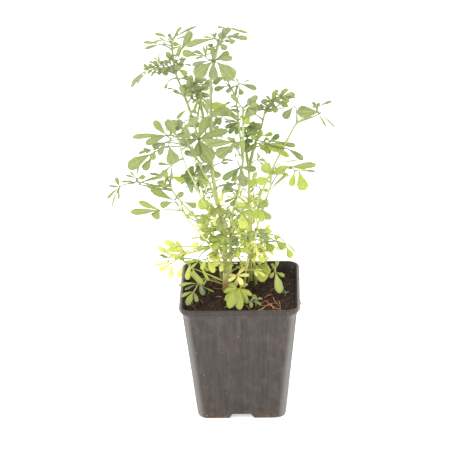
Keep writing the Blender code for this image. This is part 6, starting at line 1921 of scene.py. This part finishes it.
# %% Woody foot tree
BARK_STRETCH = (1.0, 1.0, 0.3)
foot_tree, w, given, ends = new_tree("Woody foot", "GeometryNodeTree", [
    ("Line", "NodeSocketGeometry", None),
    ("Sides", "NodeSocketInt", 28),
    ("Crack Depth", "NodeSocketFloat", 0.0007),
    ("Bark", "NodeSocketMaterial", None),
], [("Woody Foot", "NodeSocketGeometry")])
line = w.node("GeometryNodeMeshToCurve", given["Line"])
ring = w.node("GeometryNodeCurvePrimitiveCircle", given["Sides"], feeds={"Radius": 1.0})
tube = w.node("GeometryNodeCurveToMesh", line.outputs[0], ring.outputs[0],
              feeds={"Scale": read(w, "radius"), "Fill Caps": True})
here = w.node("GeometryNodeInputPosition").outputs[0]
stretched = w.vector("MULTIPLY", here, BARK_STRETCH)
cracks = w.node("ShaderNodeTexNoise", stretched, feeds={"Scale": 900.0, "Detail": 3.0}).outputs["Fac"]
depth = w.product(w.math("SUBTRACT", cracks, 0.5), given["Crack Depth"])
outwards = w.node("GeometryNodeInputNormal").outputs[0]
rough = w.node("GeometryNodeSetPosition", tube.outputs[0], feeds={"Offset": w.times(outwards, depth)})
smooth = w.node("GeometryNodeSetShadeSmooth", rough.outputs[0])
dressed = w.node("GeometryNodeSetMaterial", smooth.outputs[0], feeds={"Material": given["Bark"]})
w.feed(ends[0], w.node("GeometryNodeRealizeInstances", dressed.outputs[0]).outputs[0])
print("woody foot nodes", len(foot_tree.nodes))

# %% Bark finish
BARK = (0.40, 0.22, 0.09, 1)
BARK_ORANGE = (0.62, 0.34, 0.12, 1)
BARK_ENDS = (0.093, 0.099)
bark_finish, w, shader = new_material("rue_bark", 0.8, 0.3)
where = object_place(w)
upright = w.vector("MULTIPLY", where, BARK_STRETCH)
ridges = group(w, mottle_tree, Vector=upright, Size=700.0, First=BARK, Second=BARK_ORANGE)
height = w.node("ShaderNodeSeparateXYZ", where).outputs["Z"]
colour = w.mix(w.spread(height, *BARK_ENDS), ridges.outputs[0], STEM_PALE)
w.feed(shader.inputs["Base Color"], colour)
w.feed(shader.inputs["Normal"], bump(w, ridges.outputs[1], 0.8, 0.0005))
print("bark finish nodes", len(bark_finish.node_tree.nodes))

# %% Grow the woody foot
FOOT_STEP = 0.7
foot_stem = STEMS["crown"]
foot_route = smooth_path([Vector((-11, 8, SOIL_Z - STEM_DEPTH)), *foot_stem.path], FOOT_STEP)
foot_line = Skeleton(77)
foot_line.add_line(foot_route, stem_radii(foot_stem, foot_route, []), 0.5, 0.0)
foot = grown(skeleton_object("crown_bark", foot_line), foot_tree, Bark=bark_finish)
attach(foot, "crown")

# %% [markdown]
# ## Loose bits
#
# Small things tell a used pot from a new one. Rusty shreds of bark and a green sprout lie on the peat, and
# crumbs have dried on the wall and the lip, most of them along the foot. The eye remembers where such marks
# are, so each is placed one by one and only its bend, turn and thickness are left to chance. A shred goes
# from one pixel of the photograph to another. A crumb on the wall is a pixel across, a pixel down and a size,
# and one on the lip is a place in millimetres and a size.

# %% Bark shreds
SHRED_RADIUS = 0.30
SHRED_STEPS = 8
SHRED_BOWS = (-0.9, 0.9)
SHRED_THICKNESSES = (0.7, 1.4)
SHRED_SEAT = 0.5
SHRED_LIFT = 0.7
SOIL_SEEN_Z = 88.2
SHREDS = [
    ((262, 305), (281, 309)), ((262, 309), (272, 303)), ((265, 300), (274, 309)), ((273, 296), (279, 305)),
    ((278, 300), (280, 309)), ((267, 304), (277, 303)), ((261, 303), (269, 299)), ((264, 297), (273, 294)),
    ((213, 287), (222, 287.5)), ((216, 296), (222, 297)), ((187, 305), (196, 308)), ((207, 288), (209, 293)),
    ((198, 300), (203, 303)), ((256, 310), (266, 306)), ((270, 290), (276, 287)), ((243, 305), (250, 309)),
    ((208, 277), (221, 283)), ((190, 297), (193, 303)), ((224, 306), (231, 303)),
]


def shred_skeleton():
    """Each shred lies on the soil from one place to another, bowed to one side and lifted in its middle."""
    lines = Skeleton(5)
    for start, end in SHREDS:
        start = seen_on_level(*start, SOIL_SEEN_Z).xy
        run = seen_on_level(*end, SOIL_SEEN_Z).xy - start
        side = Vector((-run.y, run.x)).normalized() * lines.chance.uniform(*SHRED_BOWS)
        points = []
        for number in range(SHRED_STEPS + 1):
            share = number / SHRED_STEPS
            spot = start + run * share + side * sin(pi * share)
            points.append((spot.x, spot.y, soil_height(*spot) + SHRED_SEAT + SHRED_LIFT * sin(pi * share)))
        thick = SHRED_RADIUS * lines.chance.uniform(*SHRED_THICKNESSES)
        radii = [thick * (0.5 + 0.5 * sin(pi * n / SHRED_STEPS)) for n in range(SHRED_STEPS + 1)]
        lines.add_line(points, radii, 0.5, 0.0)
    return lines


SHRED_ORANGE = (0.58, 0.27, 0.11, 1)
SHRED_BROWN = (0.30, 0.13, 0.055, 1)
shred_finish, w, shader = new_material("bark_shred", 0.75, 0.3)
where = object_place(w)
grain = group(w, mottle_tree, Vector=where, Size=500.0, First=SHRED_ORANGE, Second=SHRED_BROWN)
w.feed(shader.inputs["Base Color"], grain.outputs[0])
w.feed(shader.inputs["Normal"], bump(w, grain.outputs[1], 0.6, 0.0002))
shreds = grown(skeleton_object("bark_shreds", shred_skeleton()), foot_tree, Sides=6, Crack_Depth=0.0002,
               Bark=shred_finish)
attach(shreds, "soil")

# %% A sprout
SPROUT = Vector((34, -4, 88.5))
SPROUT_TOP = SPROUT + Vector((0.3, 0, 2.2))
SPROUT_LEAF = 2.6
SPROUT_LEAF_WIDTH = 1.5
sprout_line = Skeleton(9)
sprout_line.add_line([SPROUT, SPROUT_TOP], [0.3, 0.25], 0.6, 0.2)
for bearing in (20, 110, 200, 290):
    out = Vector((cos(radians(bearing)), sin(radians(bearing)), 0.45)).normalized()
    looks = leaf_normal(out, bearing, 80)
    sprout_line.add_leaflet(SPROUT_TOP, out, looks, SPROUT_LEAF, SPROUT_LEAF_WIDTH, 0.3, 0.0)
sprout = grown(skeleton_object("sprout", sprout_line), leafy_tree, Leaflet_Form=small_form, Stem_Sides=6,
               Stem_Material=stem_finish, Leaf_Material=leaf_finish)
attach(sprout, "soil")

# %% Dried crumbs
WALL_CRUMBS = [
    (222, 352.6, 1.4), (221, 350.5, 0.9), (211, 338, 0.6), (213, 336.5, 0.5), (221, 347, 0.4),
    (211, 358, 0.5), (206, 365.5, 0.6), (213, 367, 0.5), (223, 405, 0.6), (236, 402, 0.5),
    (225, 408, 0.5), (207, 415.5, 1.9), (209, 417.5, 1.2), (204, 416.5, 0.9), (278, 416.5, 1.2),
    (274, 416, 0.8), (271, 417.5, 0.9), (266, 417.5, 0.8), (216, 417.8, 0.9), (222, 418, 0.8),
    (272, 396, 0.6), (250, 345, 0.5), (258, 374, 0.6),
]
LIP_CRUMBS = [
    (45.0, -27, 95.2, 1.6), (45.1, -27.5, 93.6, 2.0), (45.0, -26.6, 92.2, 1.4), (44.2, 10, 95.6, 1.6),
    (44.4, 12, 95.4, 1.1), (-44.6, 16, 95.2, 1.4),
]
CRUMB_SHARE = 0.36
CRUMB_SINK = 0.1
CLOSER_LOOKS = 4


def seen_on_wall(across, down):
    """The place on the front wall that is seen at a pixel; each look follows the wall's lean more closely."""
    spot = seen(across, down, -wall_row(0)[1])
    for look in range(CLOSER_LOOKS):
        spot = seen(across, down, CRUMB_SINK - wall_row(spot.z)[1])
    return spot


crumb_tree, w, given, ends = new_tree("Dried crumbs", "GeometryNodeTree", [
    ("Spots", "NodeSocketGeometry", None),
    ("Roughness Height", "NodeSocketFloat", 0.0006),
    ("Seed", "NodeSocketInt", 4),
    ("Dirt", "NodeSocketMaterial", None),
], [("Crumbs", "NodeSocketGeometry")])
lump = w.node("GeometryNodeMeshIcoSphere", feeds={"Radius": 1.0, "Subdivisions": 2}).outputs["Mesh"]
turned = w.node("FunctionNodeRandomValue", data_type="FLOAT_VECTOR",
                feeds={"Max": (tau, tau, tau), "Seed": given["Seed"]})
lumps = w.node("GeometryNodeInstanceOnPoints", given["Spots"],
               feeds={"Instance": lump, "Rotation": turned.outputs["Value"], "Scale": read(w, "radius")})
solid = w.node("GeometryNodeRealizeInstances", lumps.outputs[0])
here = w.node("GeometryNodeInputPosition").outputs[0]
noise = w.node("ShaderNodeTexNoise", here, feeds={"Scale": 1500.0, "Detail": 2.0}).outputs["Color"]
shift = w.times(w.vector("SUBTRACT", noise, (0.5, 0.5, 0.5)), given["Roughness Height"])
rough = w.node("GeometryNodeSetPosition", solid.outputs[0], feeds={"Offset": shift})
dressed = w.node("GeometryNodeSetMaterial", rough.outputs[0], feeds={"Material": given["Dirt"]})
w.feed(ends[0], dressed.outputs[0])

DIRT_LIGHT = (0.36, 0.20, 0.09, 1)
DIRT_DARK = (0.13, 0.08, 0.05, 1)
dirt_finish, w, shader = new_material("dried_compost", 0.9, 0.2)
earth = group(w, mottle_tree, Vector=object_place(w), Size=900.0, First=DIRT_LIGHT, Second=DIRT_DARK)
w.feed(shader.inputs["Base Color"], earth.outputs[0])
w.feed(shader.inputs["Normal"], bump(w, earth.outputs[1], 0.6, 0.0002))
crumb_spots = Skeleton(2)
for across, down, size in WALL_CRUMBS:
    crumb_spots.add_point(seen_on_wall(across, down), size * CRUMB_SHARE)
for x, y, z, size in LIP_CRUMBS:
    crumb_spots.add_point((x, y, z), size * CRUMB_SHARE)
crumbs_on_pot = grown(skeleton_object("dried_crumbs", crumb_spots), crumb_tree, Dirt=dirt_finish)
attach(crumbs_on_pot, "pot")

# %% [markdown]
# ## Floor
#
# The pot stands on a plain white table that is lit from below, as for a catalogue picture. So its shadow is
# faint, and the gap under each notch looks bright. The table gives off a little light of its own for that,
# and a hint of mottle keeps it from being a flat colour.

# %% Floor
FLOOR_HALF = 3.0
TABLE_GLOW = 0.6
TABLE_GREY = (0.86, 0.86, 0.86, 1)
TABLE_WHITE = (0.90, 0.90, 0.90, 1)
FLOOR_CORNERS = [(x * FLOOR_HALF, y * FLOOR_HALF, 0) for x, y in ((-1, -1), (1, -1), (1, 1), (-1, 1))]
floor_mesh = bpy.data.meshes.new("floor")
floor_mesh.from_pydata(FLOOR_CORNERS, [], [(0, 1, 2, 3)])
table_top = bpy.data.objects.new("floor", floor_mesh)
bpy.context.scene.collection.objects.link(table_top)
floor_finish, w, shader = new_material("white_table", 0.7, 0.2)
blend = group(w, mottle_tree, Vector=object_place(w), Size=6.0, First=TABLE_GREY, Second=TABLE_WHITE)
w.feed(shader.inputs["Base Color"], blend.outputs[0])
w.feed(shader.inputs["Emission Color"], blend.outputs[0])
shader.inputs["Emission Strength"].default_value = TABLE_GLOW
floor_mesh.materials.append(floor_finish)
print("floor ready")

# %% [markdown]
# ## Finish
#
# The two leaflet forms were only patterns for the leaves, so they are taken away.

# %% Remove the leaflet forms
for form in (small_form, large_form):
    bpy.data.objects.remove(form)
